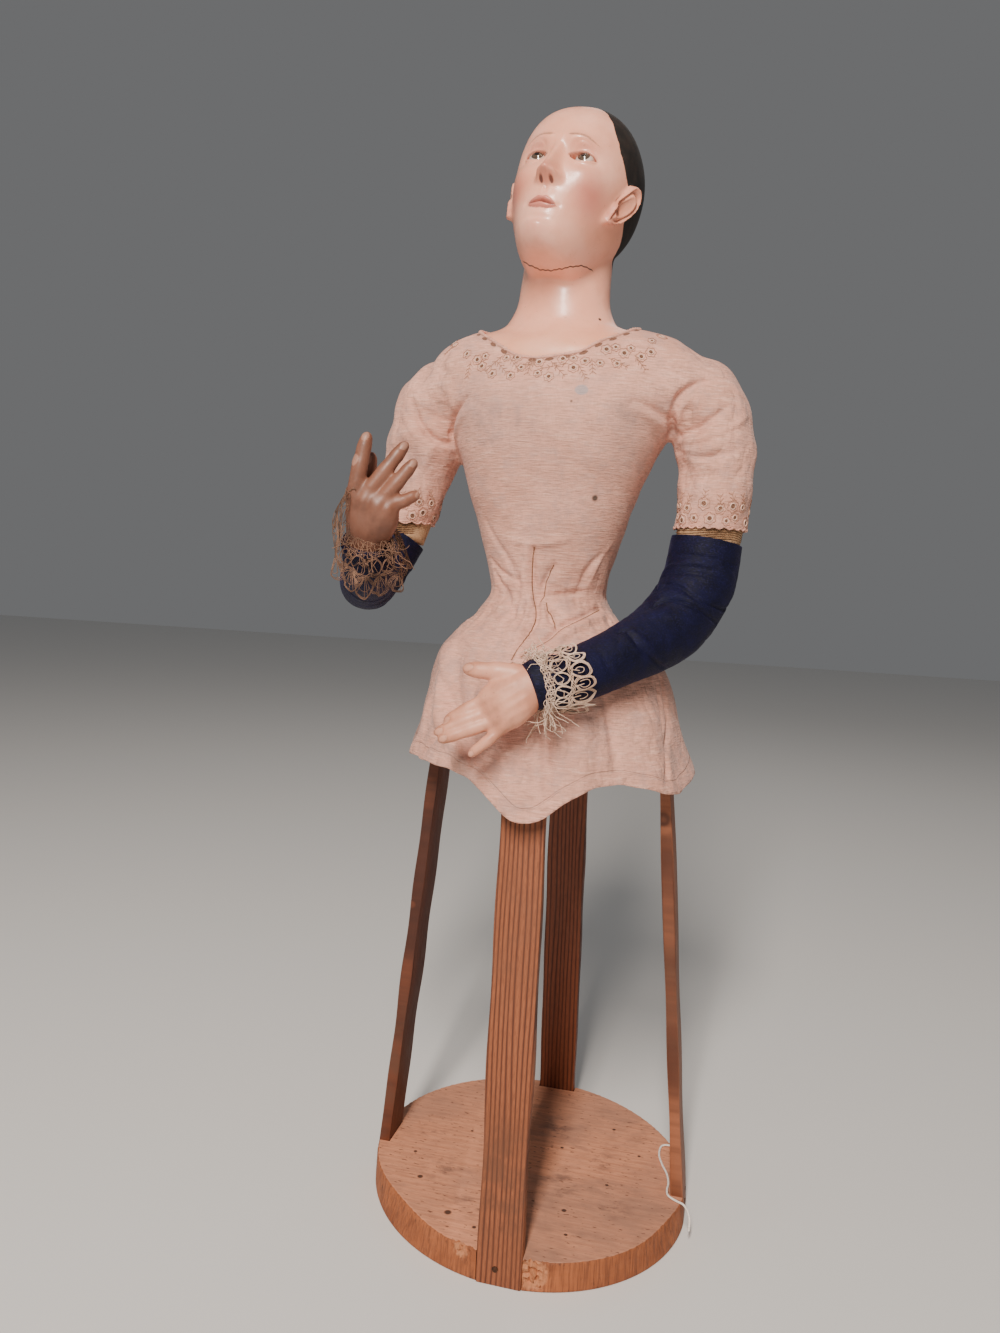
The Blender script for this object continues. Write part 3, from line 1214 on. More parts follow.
for start, end in twigs:
    line = [onto(skin_tree, Vector(start).lerp(Vector(end), k / 8))[0] for k in range(9)]
    outlines.append((line, False))
    for k in (1, 3, 5, 7):
        way = (Vector(end) - Vector(start)).normalized()
        for lean in (-1, 1):
            leaf = line[k] + (way * 2.2 + way.cross(onto(skin_tree, line[k])[1]) * 2.2 * lean)
            outlines.append(([line[k], onto(skin_tree, leaf)[0]], False))
print("eyelets", len(bound))

# %% [markdown]
# Rings, outlines and holes are pieces of their own, because each has its own finish. The
# tucks' seams use the same brown thread.

# %% The embroidery as pieces
embroidery = thread_finish("embroidery_thread", (0.82, 0.56, 0.45), (0.58, 0.36, 0.27))
outline_thread = thread_finish("outline_thread", (0.50, 0.28, 0.19), (0.32, 0.155, 0.10))
f = Finish("eyelet_hole")
weave = f.noise(1500, 2, 0.6)
dark_cloth = f.mix(weave.between(0.35, 0.7), (0.10, 0.045, 0.028), (0.22, 0.11, 0.065))
eyelet_hole = f.set(Base_Color=dark_cloth, Roughness=0.95)
for name, lines, radius, finish in (
        ("eyelet_rings", bound, 0.5, embroidery), ("eyelet_outlines", outlines, 0.21, outline_thread)):
    stitching = threads(lines, radius)
    bmesh.ops.recalc_face_normals(stitching, faces=stitching.faces[:])
    piece(name, stitching, finish, "linen")
piece("eyelet_holes", holes, eyelet_hole, "linen")
tuck_lines = []
for line in tucks[:4]:
    spots = [Vector(spot) for spot in laid(skin_tree, line, 48)]
    for _ in range(30):
        between = [(a + b * 2 + c) / 4 for a, b, c in zip(spots, spots[1:], spots[2:])]
        spots = spots[:1] + between + spots[-1:]
    tuck_lines.append(([onto(skin_tree, spot, 0.0)[0] for spot in spots], False))
piece("tuck_stitches", threads(tuck_lines, 0.42, 5), winding_thread, "linen")

# %% [markdown]
# ## The head, the neck and the bust
# One carving, painted and varnished. The head is a stack of rings in its own frame, turned
# and tipped back as a whole, with the ears and the neck pressed onto it by a fine remesh.
# The face is then carved as a relief: its height over the plain round head depends on the
# place across and up the face, by the rule of thirds that carvers learn.

# %% The head's frame and plain form
HEAD_PLACE = Vector((-3, -6, 735))
head_turn = (Matrix.Rotation(math.radians(-10), 3, "Z") @ Matrix.Rotation(math.radians(8), 3, "Y")
             @ Matrix.Rotation(math.radians(-20), 3, "X"))
head_rows = [
    (-62, 9, 31, -8), (-60, 17, 39, 2), (-54, 23, 44, 11), (-45, 28, 46, 20), (-35, 33, 47, 29),
    (-24, 37.5, 48, 39), (-12, 40.5, 49, 47), (0, 42.5, 50, 52), (13, 43, 51.5, 54), (26, 42, 50.5, 53),
    (38, 38.5, 46, 48.5), (48, 32, 37.5, 41), (56, 22, 24.5, 29), (60.5, 12, 12, 16), (62, 4, 4, 6),
]
neck_rows = [
    (600, -10, -4, 50, 40, 30), (612, -10, -4, 52, 42, 30), (632, -10, -3, 51, 38, 30),
    (643, -10, -1, 46, 33, 28), (652, -9.5, 0, 39.5, 29.5, 27), (664, -9, 1, 34, 28.5, 28),
    (680, -8.5, 2, 32.5, 28, 28.5), (702, -7, 3, 31.5, 24, 27), (714, -6, 4, 27, 20, 23),
]
ear_rim = [(4, -10), (5.5, 0), (9, 13), (14, 21), (21, 20), (23, 11), (17, -2), (9, -9)]
ear_outline = [Vector((0, back - 25.5, up * 1.2 - 18)) for back, up in ear_rim + ear_rim[:1]]
EAR_MIDDLE = Vector((0, -12, -12))


def head_local(bm):
    """A mesh's points in the head's own frame."""
    return (points_of(bm) - np.array(HEAD_PLACE)) @ np.array(head_turn)


def in_head(section):
    """A section given in the head's own frame, set in the world."""
    return lambda turn: head_turn @ Vector(section(turn)) + HEAD_PLACE


def ear_section(side, out, scale):
    """A level of the ear's outline, at a turn round its middle."""
    def section(turn):
        spot = EAR_MIDDLE.lerp(Vector(along_line(ear_outline, (turn / (2 * math.pi)) % 1)), scale)
        return side * (out + (spot.y + 16) * 0.35 + (spot.z + 12) * 0.16), spot.y, spot.z
    return in_head(section)


skull = [in_head(level_ring(0, 0, z, [half, half, front, back], 2.25))
         for z, half, front, back in smooth(head_rows, 4)]
neck = [level_ring(x, y, z, [half, half, front, back])
        for z, x, y, half, front, back in smooth(neck_rows, 4)]
head_parts = [loft(skull, 96), loft(neck, 80)]
ear_levels = ((28, 0.62), (34, 0.82), (37.5, 0.94), (40, 1), (42, 0.97), (42.8, 0.88))
for side in (-1, 1):
    head_parts.append(loft([ear_section(side, out, scale) for out, scale in ear_levels], 48))
bust = fused([trunk_form(-0.2, 596, segments=80), shoulder_form(-0.2)], 1.6)
opening = [neckline["wide"] + 2.5] * 2 + [neckline["deep"] + 2.5] * 2
plug = loft([level_ring(neckline["x"], neckline["y"], z, opening) for z in (598, 700)], 96)
head_parts.append(cut_by(bust, plug, "INTERSECT"))
head = fused(head_parts, 1.25)
soften(head, 4)
join = [vert for vert, (x, y, z), spot in zip(head.verts, head_local(head), points_of(head))
        if spot[2] > 640 and z < -22 and y > -44]
soften(head, 14, verts=join)
print("head skin", len(head.verts), "points")

# %% [markdown]
# The face and the ears need more points than the back of the head, so they are subdivided
# before they are carved. The eyes are set at half the head's height, the nose ends halfway from
# them to the chin's foot, and the mouth lies a third of the way below it.

# %% Points for the face
def fine_part(local):
    x, y, z = local.T
    face = (y < -22) & (z < 30) & (z > -60) & (np.abs(x) < 36)
    ears = (np.abs(x) > 36) & (np.abs(y + 12) < 14) & (np.abs(z + 12) < 23)
    return face | ears


inside = dict(zip(head.verts, fine_part(head_local(head))))
edges = [edge for edge in head.edges if inside[edge.verts[0]] and inside[edge.verts[1]]]
bmesh.ops.subdivide_edges(head, edges=edges, cuts=1, use_grid_fill=True, smooth=0.4)
local = head_local(head)
print("with a finer face", len(local), "points")
x, y, z = local.T
away = np.abs(x)
side = np.sign(x)
front = smoothstep(0.1, 0.7, -y / 50)


def swell(place_x, place_z, spread_x, spread_z, height, of_x=None):
    return height * bell(x if of_x is None else of_x, place_x, spread_x) * bell(z, place_z, spread_z)


# %% [markdown]
# The relief is a sum of swells, each a bell across and up the face with a height in mm. Sums
# blend as filed wood does, and one number moves one form.

# %% Nose, brow, cheeks, chin and lips
EYE_RADIUS, EYE_ACROSS, EYE_UP = 8.2, 17.0, 1.0
EYE_DEEP = -36.8
down = np.clip((8 - z) / 26.5, 0, 1)
bridge = (1.2 + 11.6 * down ** 1.15) * smoothstep(-24.4, -19.4, z) * smoothstep(22, 4, z)
relief = (
    bridge * np.exp(-((away / (3.4 + 2.3 * down ** 2)) ** 2.4)) + swell(6.2, -19.4, 2.7, 3.3, 4.6, away)
    + swell(EYE_ACROSS, EYE_UP, 10.5, 6.5, -4.4, away)
    + swell(15, 11.5, 12, 4.2, 2.2, away) + swell(6.5, 6, 3.2, 5, 0.5, away)
    + swell(27, -13, 10, 9.5, 2.8, away) + swell(0, -54, 9.5, 7, 3.6)
    + swell(0, -47.5, 9, 2.8, -1.8) + swell(0, -33, 11, 6, 1.4)
)
relief -= swell(0, -27.0, 1.5, 2.8, 0.8)
relief += swell(2.6, -26.8, 1.0, 3.0, 0.35, away)
nostril = bell(away, 3.7, 1.6) * bell(z, -22.2, 1.15)
relief -= nostril * 2.6
MOUTH = -36.6
HALF_MOUTH = 10.6
inside_mouth = np.clip(1 - (away / HALF_MOUTH) ** 2, 0, 1)
parting = MOUTH + 0.5 * bell(away, 0, 2.6) - 0.9 * (away / HALF_MOUTH) ** 2
upper_edge = parting + inside_mouth ** 0.8 * (3.6 - 0.9 * bell(away, 0, 1.6) + 0.5 * bell(away, 3.0, 2.0))
lower_edge = parting - inside_mouth ** 0.7 * 4.6
in_upper, in_lower = (z > parting) & (z < upper_edge), (z <= parting) & (z > lower_edge)
upper_lip = np.clip((upper_edge - z) / np.maximum(upper_edge - parting, 0.3), 0, 1) * in_upper
lower_lip = np.clip((z - lower_edge) / np.maximum(parting - lower_edge, 0.3), 0, 1) * in_lower
plump = np.where(z > parting, np.sin(np.pi * upper_lip ** 0.7), np.sin(np.pi * lower_lip ** 0.8))
relief += plump * inside_mouth ** 0.5 * np.where(z > parting, 1.5, 2.0)
relief -= bell(z, parting - 0.1, 0.75) * inside_mouth ** 0.5 * 2.0
relief += swell(11.6, -36.8, 1.8, 2.0, -0.8, away) + swell(0, -43.6, 8, 2.0, 0.5)
lips = (in_upper | in_lower) & (inside_mouth > 0)
y = y - relief * front
print("relief", round(float(relief.min()), 1), "to", round(float(relief.max()), 1), "mm")

# %% [markdown]
# Each eyelid is part of a ball a little larger than the glass eye, so it wraps the eye.
# Inside the opening the surface drops behind the glass, and the visible edge is where the
# two surfaces cross, which keeps it clean.

# %% The lids
HALF_LID = 8.9
u = away - EYE_ACROSS
v = z - EYE_UP
reach = np.hypot(u, v)
outer = np.clip(u / 9.0, -1, 1)
upper_lid = 3.5 * np.clip(1 - (u / HALF_LID) ** 2, 0, 1) ** 0.75 + 0.35 * outer
lower_lid = -3.1 * np.clip(1 - (u / HALF_LID) ** 2, 0, 1) ** 0.85 + 0.35 * outer
open_by = np.minimum(upper_lid - v, v - lower_lid)
open_by = np.where(np.abs(u) < HALF_LID, open_by, -np.hypot(np.abs(u) - HALF_LID, v))
lid_radius = EYE_RADIUS + 1.25 - 0.25 * (v < 0) + 0.35 * bell(open_by, -0.8, 0.6)
lid = EYE_DEEP - np.sqrt(np.clip(lid_radius ** 2 - reach ** 2, 0, None))
lid = np.where(reach < lid_radius, lid, 0)
BLEND = 0.9
covered = -np.logaddexp(-y / BLEND, -lid / BLEND) * BLEND
crease = (bell(np.hypot(u / 1.05, v - 1.0), 8.3, 1.0)
          * smoothstep(1.5, 4.0, v) * smoothstep(8.5, 5.0, np.abs(u)))
covered = covered + crease * 0.55
drop = smoothstep(-0.25, 0.85, open_by)
socket = EYE_DEEP - np.sqrt(np.clip((EYE_RADIUS - 1.6) ** 2 - reach ** 2, 0, None)) * 0.9
face_near = (y < 0) & (reach < 14)
y = np.where(face_near, covered * (1 - drop) + np.maximum(socket, covered) * drop, y)

# %% [markdown]
# The ear is carved in from the side: a raised rim, a second fold within it, and the hollow
# over the lobe.

# %% The ears
ear_y, ear_z = local[:, 1] - EAR_MIDDLE.y, local[:, 2] - EAR_MIDDLE.z
rim_spots = np.array([along_line(ear_outline, k / 200) for k in range(200)])[:, 1:]
rim_spots = rim_spots - [EAR_MIDDLE.y, EAR_MIDDLE.z]
rim_turns = np.arctan2(rim_spots[:, 1], rim_spots[:, 0])
order = np.argsort(rim_turns)
rim_reach = np.interp(np.arctan2(ear_z, ear_y), rim_turns[order], np.hypot(*rim_spots.T)[order],
                      period=2 * np.pi)
ear_share = np.hypot(ear_y, ear_z) / rim_reach
out = away - (local[:, 1] + 16) * 0.35 - (local[:, 2] + 12) * 0.16
on_ear = smoothstep(38.6, 40.2, out) * smoothstep(1.16, 1.06, ear_share)
lobe = smoothstep(-15.0, -9.5, ear_z)
carving = (1.3 * bell(ear_share, 0.92, 0.10) - 1.9 * bell(ear_share, 0.73, 0.095) * lobe
           + 0.9 * bell(ear_share, 0.54, 0.09) * lobe
           - 5.0 * bell(np.hypot(ear_y + 2.2, (ear_z + 1.5) * 0.72), 0, 4.6)
           + 1.6 * bell(ear_y, -7.6, 1.9) * bell(ear_z, -3.5, 3.0))
x = x + side * carving * on_ear
move_points(head, np.stack([x, y, z], axis=1) @ np.array(head_turn).T + np.array(HEAD_PLACE))
soften(head, 1, 0.25, [vert for vert, near in zip(head.verts, (reach > 10) & (local[:, 2] > -64)) if near])
soften(head, 2, 0.5, [vert for vert, near in zip(head.verts, on_ear > 0.2) if near])

# %% [markdown]
# Colour is laid on by place too: each painted part is a value from 0 to 1 that the mesh
# carries, so the finish can soften, break and tint it.

# %% What is painted on the head
brow_line = 11.2 + 3.2 * np.clip((14 - away) / 12, -1, 1) * 0.45 + 2.2 * bell(away, 16, 9)
brow_thick = 0.95 * smoothstep(4.5, 8, away) * smoothstep(27.5, 17, away) + 0.05
write_values(head, "brow", np.exp(-((z - brow_line) / brow_thick) ** 2) * (away > 4.2) * (away < 28)
             * front)
write_values(head, "lips", lips * front)
write_values(head, "parting", bell(z, parting - 0.1, 0.55) * smoothstep(0.05, 0.5, inside_mouth) * front)
write_values(head, "nostril", nostril * front)
write_values(head, "ear_hollow", on_ear * np.clip(-carving / 3.0, 0, 1))
write_values(head, "lid_rim", bell(open_by, 0.1, 0.6) * face_near)
blush = (bell(away, 27, 12) * bell(z, -23, 14) + bell(away, 0, 5) * bell(z, -18, 5) * 0.8
         + bell(away, 0, 8) * bell(z, -54, 7) * 0.5 + on_ear * 0.15
         + bell(away, 18, 10) * bell(z, 7, 4) * 0.5)
write_values(head, "blush", np.clip(blush, 0, 1) * np.maximum(front, on_ear))
cap_line = [(-31, 66), (-36, 50), (-38.5, 38), (-37, 27), (-31, 16.6), (-19, 6.2), (-6, -3.2), (1, -13.9),
            (14, -22), (24.5, -30.6), (40, -44)]
cap_away = np.full(len(local), 1e9)
for (ya, za), (yb, zb) in zip(cap_line, cap_line[1:]):
    way = np.array([yb - ya, zb - za])
    t = np.clip(((local[:, 1] - ya) * way[0] + (local[:, 2] - za) * way[1]) / (way @ way), 0, 1)
    gap = np.hypot(local[:, 1] - ya - t * way[0], local[:, 2] - za - t * way[1])
    above = (way[0] * (local[:, 2] - za) - way[1] * (local[:, 1] - ya)) > 0
    nearer = gap < np.abs(cap_away)
    cap_away = np.where(nearer, np.where(above, gap, -gap), cap_away)
write_values(head, "cap", np.where(on_ear > 0.3, -3.0, np.clip(cap_away, -4, 4)))

# %% [markdown]
# Oil paint over carved wood, rosy on the cheeks and glossy, with a matt dark cap of hair. Its
# ground is a function, because the hands share it. The crack is a wavy line, laid out flat as
# it is seen from one place before the neck.

# %% The flesh paint
def flesh_finish(name, shade, brown):
    """Oil paint on carved wood: a soft mottle, worn spots, and gloss that wanders a little."""
    f = Finish(name)
    mottle = f.noise(70, 3, 0.55)
    soft = f.noise(24, 2, 0.5)
    specks = f.noise(420, 2, 0.5)
    strokes = f.noise(190, 3, 0.6)
    colour = f.mix(soft.between(0.35, 0.68), shade, tuple(c * k for c, k in zip(shade, (0.95, 0.84, 0.76))))
    colour = f.mix(mottle.between(0.4, 0.75, 0.0, 0.35), colour, brown)
    colour = f.mix(specks.between(0.70, 0.76, 0.0, 0.35), colour, tuple(c * 0.5 for c in brown))
    return f, colour, strokes, f.bump(strokes * 0.7 + mottle * 0.6 + specks * 0.15, 0.35, 0.5)


f, colour, strokes, relief_normal = flesh_finish("flesh_paint", (0.95, 0.485, 0.355), (0.70, 0.285, 0.175))
rose = f.noise(50, 2, 0.5)
colour = f.mix(f.value("blush") * (rose * 0.5 + 0.5), colour, (0.54, 0.165, 0.12))
height = f.axis("Z")
colour = f.mix(height.between(0.618, 0.652, 0.65, 0.0) * (rose * 0.5 + 0.5), colour, (0.84, 0.39, 0.21))
colour = f.over(
    colour,
    (f.value("lips").between(0.2, 0.8) * 0.75, (0.50, 0.13, 0.10)),
    (f.value("parting") * 0.95, (0.07, 0.015, 0.012)),
    (f.value("nostril").between(0.2, 0.7) * 0.9, (0.09, 0.025, 0.02)),
    (f.value("lid_rim") * 0.6, (0.36, 0.12, 0.08)),
    (f.value("ear_hollow") * 0.5, (0.42, 0.16, 0.09)),
)
hairs = f.noise(700, 2, 0.6).between(0.3, 0.6, 0.55, 1.0)
colour = f.mix(f.value("brow") * hairs * 0.75, colour, (0.16, 0.075, 0.045))
SIGHT_X, SIGHT_Y, SIGHT_Z, SIGHT_TURN = 0.138, -0.732, 0.4656, (0.9707, 0.2402)
LAID_OUT = 700
side, forth = f.axis("X") - SIGHT_X, f.axis("Y") - SIGHT_Y
ahead = forth * SIGHT_TURN[0] - side * SIGHT_TURN[1]
across = (side * SIGHT_TURN[0] + forth * SIGHT_TURN[1]) / ahead * LAID_OUT
early, late = (18 - across).most(0), (across - 42).most(0)
crack_line = (213.1 - ((across - 18) * 0.1309).math("COSINE") * 2.0 + early * early * 0.0085
              - late * late * 0.04
              + (across * 1.7).math("SINE") * 0.2 + (across * 0.8).math("SINE") * 0.2)
up = (f.axis("Z") - SIGHT_Z) / ahead * LAID_OUT
crack = (up - crack_line).size().between(0.25, 0.6, 1.0, 0.0)
crack = crack * across.between(1.0, 3.0) * across.between(48.5, 50.5, 1.0, 0.0)
crack = crack * f.axis("Y").between(-0.004, -0.012)
colour = f.mix(crack * 0.97, colour, (0.025, 0.010, 0.007))
colour = f.mix(f.near((21, -19, 651), 1.6, 0.5), colour, (0.05, 0.02, 0.015))
cap = f.value("cap") + (f.noise(240, 3, 0.6) - 0.5) * 1.6
cap_mask = cap.between(-0.25, 0.25)
worn_cap = f.mix(f.noise(120, 3, 0.6).between(0.3, 0.75), (0.0085, 0.0058, 0.0045), (0.026, 0.0165, 0.0125))
colour = f.mix(cap_mask, colour, worn_cap)
gloss = strokes.between(0.25, 0.75, 0.30, 0.44)
rough = f.node("ShaderNodeMapRange", None, {0: cap_mask, 1: 0.0, 2: 1.0, 3: gloss, 4: 0.75})
flesh_paint = f.set(Base_Color=colour, Roughness=rough, Coat_Weight=(1 - cap_mask) * 0.28,
                    Coat_Roughness=0.16, Subsurface_Weight=0.06, Subsurface_Scale=0.004,
                    Normal=relief_normal)
piece("head_and_bust_carving", head, flesh_paint, "flesh_paint", "head_and_bust")

# %% [markdown]
# ## The glass eyes
# A glass eye is a ball with a clear bulge over the iris. Its colours are rings round the
# way it looks, so the finish measures the distance from that axis.

# %% The eyes
gaze = Vector((0.02, -0.95, 0.26)).normalized()
for side, name in ((1, "eye_left"), (-1, "eye_right")):
    centre = head_turn @ Vector((side * EYE_ACROSS, EYE_DEEP, EYE_UP)) + HEAD_PLACE
    look = (head_turn @ gaze).normalized()
    eye = bmesh.new()
    bmesh.ops.create_uvsphere(eye, u_segments=48, v_segments=32, radius=1.0)
    tilt = look.to_track_quat("Z", "Y").to_matrix()
    for vert in eye.verts:
        polar = math.acos(max(-1, min(1, vert.co.z)))
        size = EYE_RADIUS + 0.5 * math.exp(-(polar / 0.42) ** 4)
        vert.co = (centre + tilt @ (vert.co * size)) * MM
    f = Finish(name)
    pole = (centre + look * EYE_RADIUS) * MM
    ring = f.node("ShaderNodeVectorMath", {"operation": "DISTANCE"}, {0: f.places, 1: pole[:]}, "Value")
    rays = f.noise(900, 2, 0.6)
    white = f.mix(f.noise(200, 2, 0.5).between(0.3, 0.8), (0.66, 0.56, 0.48), (0.52, 0.38, 0.31))
    white = f.mix(ring.between(0.0055, 0.0085), white, (0.48, 0.22, 0.16))
    iris = f.mix(rays.between(0.3, 0.7), (0.06, 0.04, 0.027), (0.12, 0.085, 0.06))
    iris = f.mix(ring.between(0.0034, 0.0043), iris, (0.04, 0.025, 0.02))
    colour = f.mix(ring.between(0.0042, 0.0047, 1.0, 0.0), white, iris)
    colour = f.mix(ring.between(0.0018, 0.0022, 1.0, 0.0), colour, (0.006, 0.005, 0.005))
    glass = f.set(Base_Color=colour, Roughness=0.08, Coat_Weight=1.0, Coat_Roughness=0.02)
    piece(name + "_glass", eye, glass, "glass_eye", name)

# %% [markdown]
# ## The silk sleeves
# Navy silk drawn over the forearms, tight enough that it shows the arm, with sharp creases
# where the elbow bends. Each is a tube round the arm's line; soft rolls are added to its
# radius, and each crease is a line of places that the silk sinks along.

# %% The silk's finish
f = Finish("silk")
weft = f.noise(1400, 2, 0.6, f.stretched(0.3, 1.0, 1.0))
crush = f.noise(75, 4, 0.65)
colour = f.mix(crush.between(0.35, 0.7), (0.0006, 0.0009, 0.0105), (0.0018, 0.0022, 0.024))
colour = f.mix(weft.between(0.5, 0.7, 0.0, 0.6), colour, (0.011, 0.010, 0.068))
silk = f.set(Base_Color=colour, Roughness=crush.between(0.3, 0.7, 0.62, 0.78), Specular_IOR_Level=0.24,
             Sheen_Weight=0.05, Sheen_Roughness=0.4, Sheen_Tint=(0.45, 0.4, 0.9),
             Normal=f.bump(weft * 0.9 + crush * 1.6, 0.6, 0.7))

# %% [markdown]
# Silk folds in two ways: soft rolls run round the arm, and sharp creases start where it is
# nipped. Rolls change the tube's radius; a crease is a line with a depth and a width.

# %% Rolls and sharp creases in the silk
rolls = {
    "left": [(0.68, 0.06, 0.018, 0.1), (0.80, 0.05, 0.015, 0.7)],
    "right": [(0.18, 0.05, 0.040, 0.2), (0.32, 0.045, 0.050, 0.4), (0.45, 0.05, 0.035, 0.6),
              (0.62, 0.06, 0.02, 0.1), (0.78, 0.05, 0.02, 0.8)],
}
silk_creases = {
    "left": [
        ([(80, 8, 474), (73, -12, 470), (73, -32, 464), (78, -30, 469), (84, -34, 469), (91, -38, 467),
          (98, -40, 462), (104, -39, 458), (112, -32, 455), (123, -16, 452), (127, 2, 456)], -2.1, 1.2),
        ([(70, -30, 456), (73, -52, 453), (77, -48, 456), (83, -45, 458), (91, -45, 457), (98, -44, 455),
          (103, -42, 453), (111, -34, 447), (121, -18, 441)], -2.1, 1.2),
        ([(74, -48, 461), (80, -41, 464), (90, -43, 462), (100, -43, 458), (110, -35, 452)], 1.5, 3.2),
        ([(70, -62, 449), (80, -58, 449), (92, -54, 447), (104, -46, 442)], 1.4, 5.0),
        ([(76, -14, 477), (82, -21, 481), (95, -28, 484), (107, -28, 483), (116, -24, 481),
          (123, -17, 477)], 1.3, 2.6),
        ([(76, -18, 472), (84, -26, 476), (96, -31, 477), (110, -29, 475), (122, -19, 470)], -1.0, 1.6),
        ([(86, -22, 490), (100, -28, 489), (114, -25, 487), (124, -14, 484)], -0.7, 1.4),
        ([(52, -70, 440), (55, -82, 435), (59, -78, 437), (64, -81, 433), (68, -82, 428), (73, -79, 423),
          (79, -71, 418), (83, -59, 414), (86, -42, 412)], -1.9, 1.1),
        ([(60, -76, 438), (67, -78, 434), (73, -77, 428), (79, -72, 421), (85, -62, 416)], 1.3, 2.2),
        ([(40, -92, 428), (48, -96, 415), (52, -90, 402)], -0.5, 2.2),
        ([(100, 14, 466), (112, 12, 460), (122, 4, 462)], -1.4, 1.8),
        ([(96, 8, 452), (110, 4, 446), (122, -8, 448)], -1.4, 1.8),
        ([(92, -4, 436), (104, -16, 428), (112, -26, 432)], -1.2, 2.0),
    ],
    "right": [
        ([(-126, -126, 478), (-122, -110, 470), (-112, -96, 447), (-100, -92, 449)], -1.4, 1.3),
        ([(-100, -60, 462), (-112, -56, 444), (-130, -52, 440)], -1.5, 1.6),
        ([(-108, -30, 468), (-118, -20, 448), (-140, -16, 446)], -1.5, 1.6),
        ([(-98, -74, 470), (-104, -76, 450), (-120, -78, 443)], 1.0, 3.0),
        ([(-150, -40, 470), (-146, -30, 452), (-132, -20, 442)], -1.3, 1.6),
    ],
}


def silk_shape(side):
    def shape(share, turn):
        size = 1.0
        for place, width, height, phase in rolls[side]:
            lean = place + 0.045 * math.sin(turn + phase * 6) + 0.012 * math.sin(3 * turn + phase * 9)
            inner = 0.45 + 0.55 * math.cos(turn - phase * 2) ** 2
            size += height * inner * math.exp(-((share * 1.25 - lean) / (width * 0.55)) ** 2)
        return size + 0.006 * math.sin(5 * turn + 20 * share)
    return shape


def under_skirt(bm):
    """Moves what would lie inside the chemise out onto its surface."""
    moved = 0
    for vert in bm.verts:
        spot, normal, _, away = skin_tree.find_nearest(vert.co)
        if away < 0.03 and (vert.co - spot).dot(normal) < 0.0006 and vert.co.z < 0.46:
            vert.co = spot + normal * 0.0006
            moved += 1
    return moved


# %% [markdown]
# Each tube is dense enough for a crease one millimetre wide. What would lie inside the skirt
# is pushed out onto the linen, where the forearm rests.

# %% The silk sleeves
wrist_ends = {"left": [(13, -110.5, 402.5), (5.5, -114.5, 399.5)], "right": [(-100, -135, 486)]}
for side, arm in arms.items():
    start = np.array(arm["lower"][0]) + (np.array(arm["lower"][0]) - np.array(arm["lower"][1])) * 0.08
    ends = wrist_ends[side]
    radii = arm["lower_radii"] + [16.5, 15.5][:len(ends)]
    sleeve = limb([start] + arm["lower"][1:] + ends, radii, 230, 132, wide=(1, 0, 1),
                  shape=silk_shape(side))
    places = points_of(sleeve)
    sunk = np.zeros(len(places))
    plain_tree = BVHTree.FromBMesh(sleeve)
    for line, height, width in silk_creases[side]:
        away, along = distance_to_line(places, laid(plain_tree, line, 30))
        taper = np.sin(np.pi * np.clip(0.1 + 0.8 * along / along.max(), 0, 1)) ** 0.6
        sunk += height * taper * bell(away, 0, width)
    x, y, z = places.T
    sunk += (0.22 * np.sin(x * 0.5 + 2 * np.sin(z * 0.2)) * np.sin(y * 0.33 + z * 0.4)
             * np.sin(z * 0.21 - x * 0.13))
    move_points(sleeve, places + normals_of(sleeve) * sunk[:, None])
    print("moved out of the skirt", under_skirt(sleeve))
    soften(sleeve, 1, 0.3)
    trees["silk_" + side] = BVHTree.FromBMesh(sleeve)
    made = piece(f"silk_sleeve_{side}_cloth", sleeve, silk, "silk", f"silk_sleeve_{side}")

# %% [markdown]
# ## The hands
# Carved and painted with slim fingers. A hand is made in its own frame, fingers up, from a
# palm, four fingers and a thumb that are fused and smoothed; knuckles, tendons and nails
# are small rises in that frame. The whole is then turned and set at its wrist.

# %% A hand's parts
hand_places = {
    "left": dict(side=-1, wrist=(11.4, -112, 402.8), along=(-0.78, -0.2, -0.56), back=(0.1, -1, 0.2),
                 fingers=[(-9, -3, 29, 4.4, 1, 4), (-1.4, -9, 38, 4.5, -4, 2), (5.8, -12, 38.5, 4.4, -6, 2),
                          (12.6, 6, 26.7, 3.8, -5, 9)],
                 thumb=[(-5, 2, 4), (-13, 1, 12), (-20, 0, 20), (-27, 0, 29), (-33, 0, 36.5)]),
    "right": dict(side=1, wrist=(-102.8, -132, 482.2), along=(0.36, -0.5, 0.79), back=(-0.1, -0.8, -0.6),
                  fingers=[(-13.4, -11, 36, 5, 30, 5), (-6.4, 19, 41, 4.8, 36, 6),
                           (3.3, 22, 33, 4.6, 34, 5), (10, 54, 19, 4.1, 35, 7)],
                  thumb=[(-4, 3, 6), (-9, 8, 17), (-12, 14, 29), (-14, 19, 40), (-15, 23, 51)]),
}
palm_rows = [(-9, 11.4, 9), (2, 12, 9), (12, 14, 9.4), (23, 16.4, 9.4), (31, 16, 8.4), (36, 14.4, 6.2),
             (39.5, 10, 3)]


# %% One hand's skin
def finger_points(across, splay, length, radius, bend, curl):
    points = [Vector((across, 0, 28)), Vector((across, 0, 35))]
    turned = bend
    for share in (0.45, 0.3, 0.25):
        way = Matrix.Rotation(math.radians(splay), 3, "Y") @ Matrix.Rotation(math.radians(-turned), 3, "X")
        points.append(points[-1] + way @ Vector((0, 0, 1)) * length * share)
        turned += curl
    return points


def joints(*places):
    """A finger's outline: fuller at the joints, slimmer between them."""
    def shape(share, turn):
        return 0.965 + sum(0.08 * math.exp(-((share - place) / 0.07) ** 2) for place in places)
    return shape


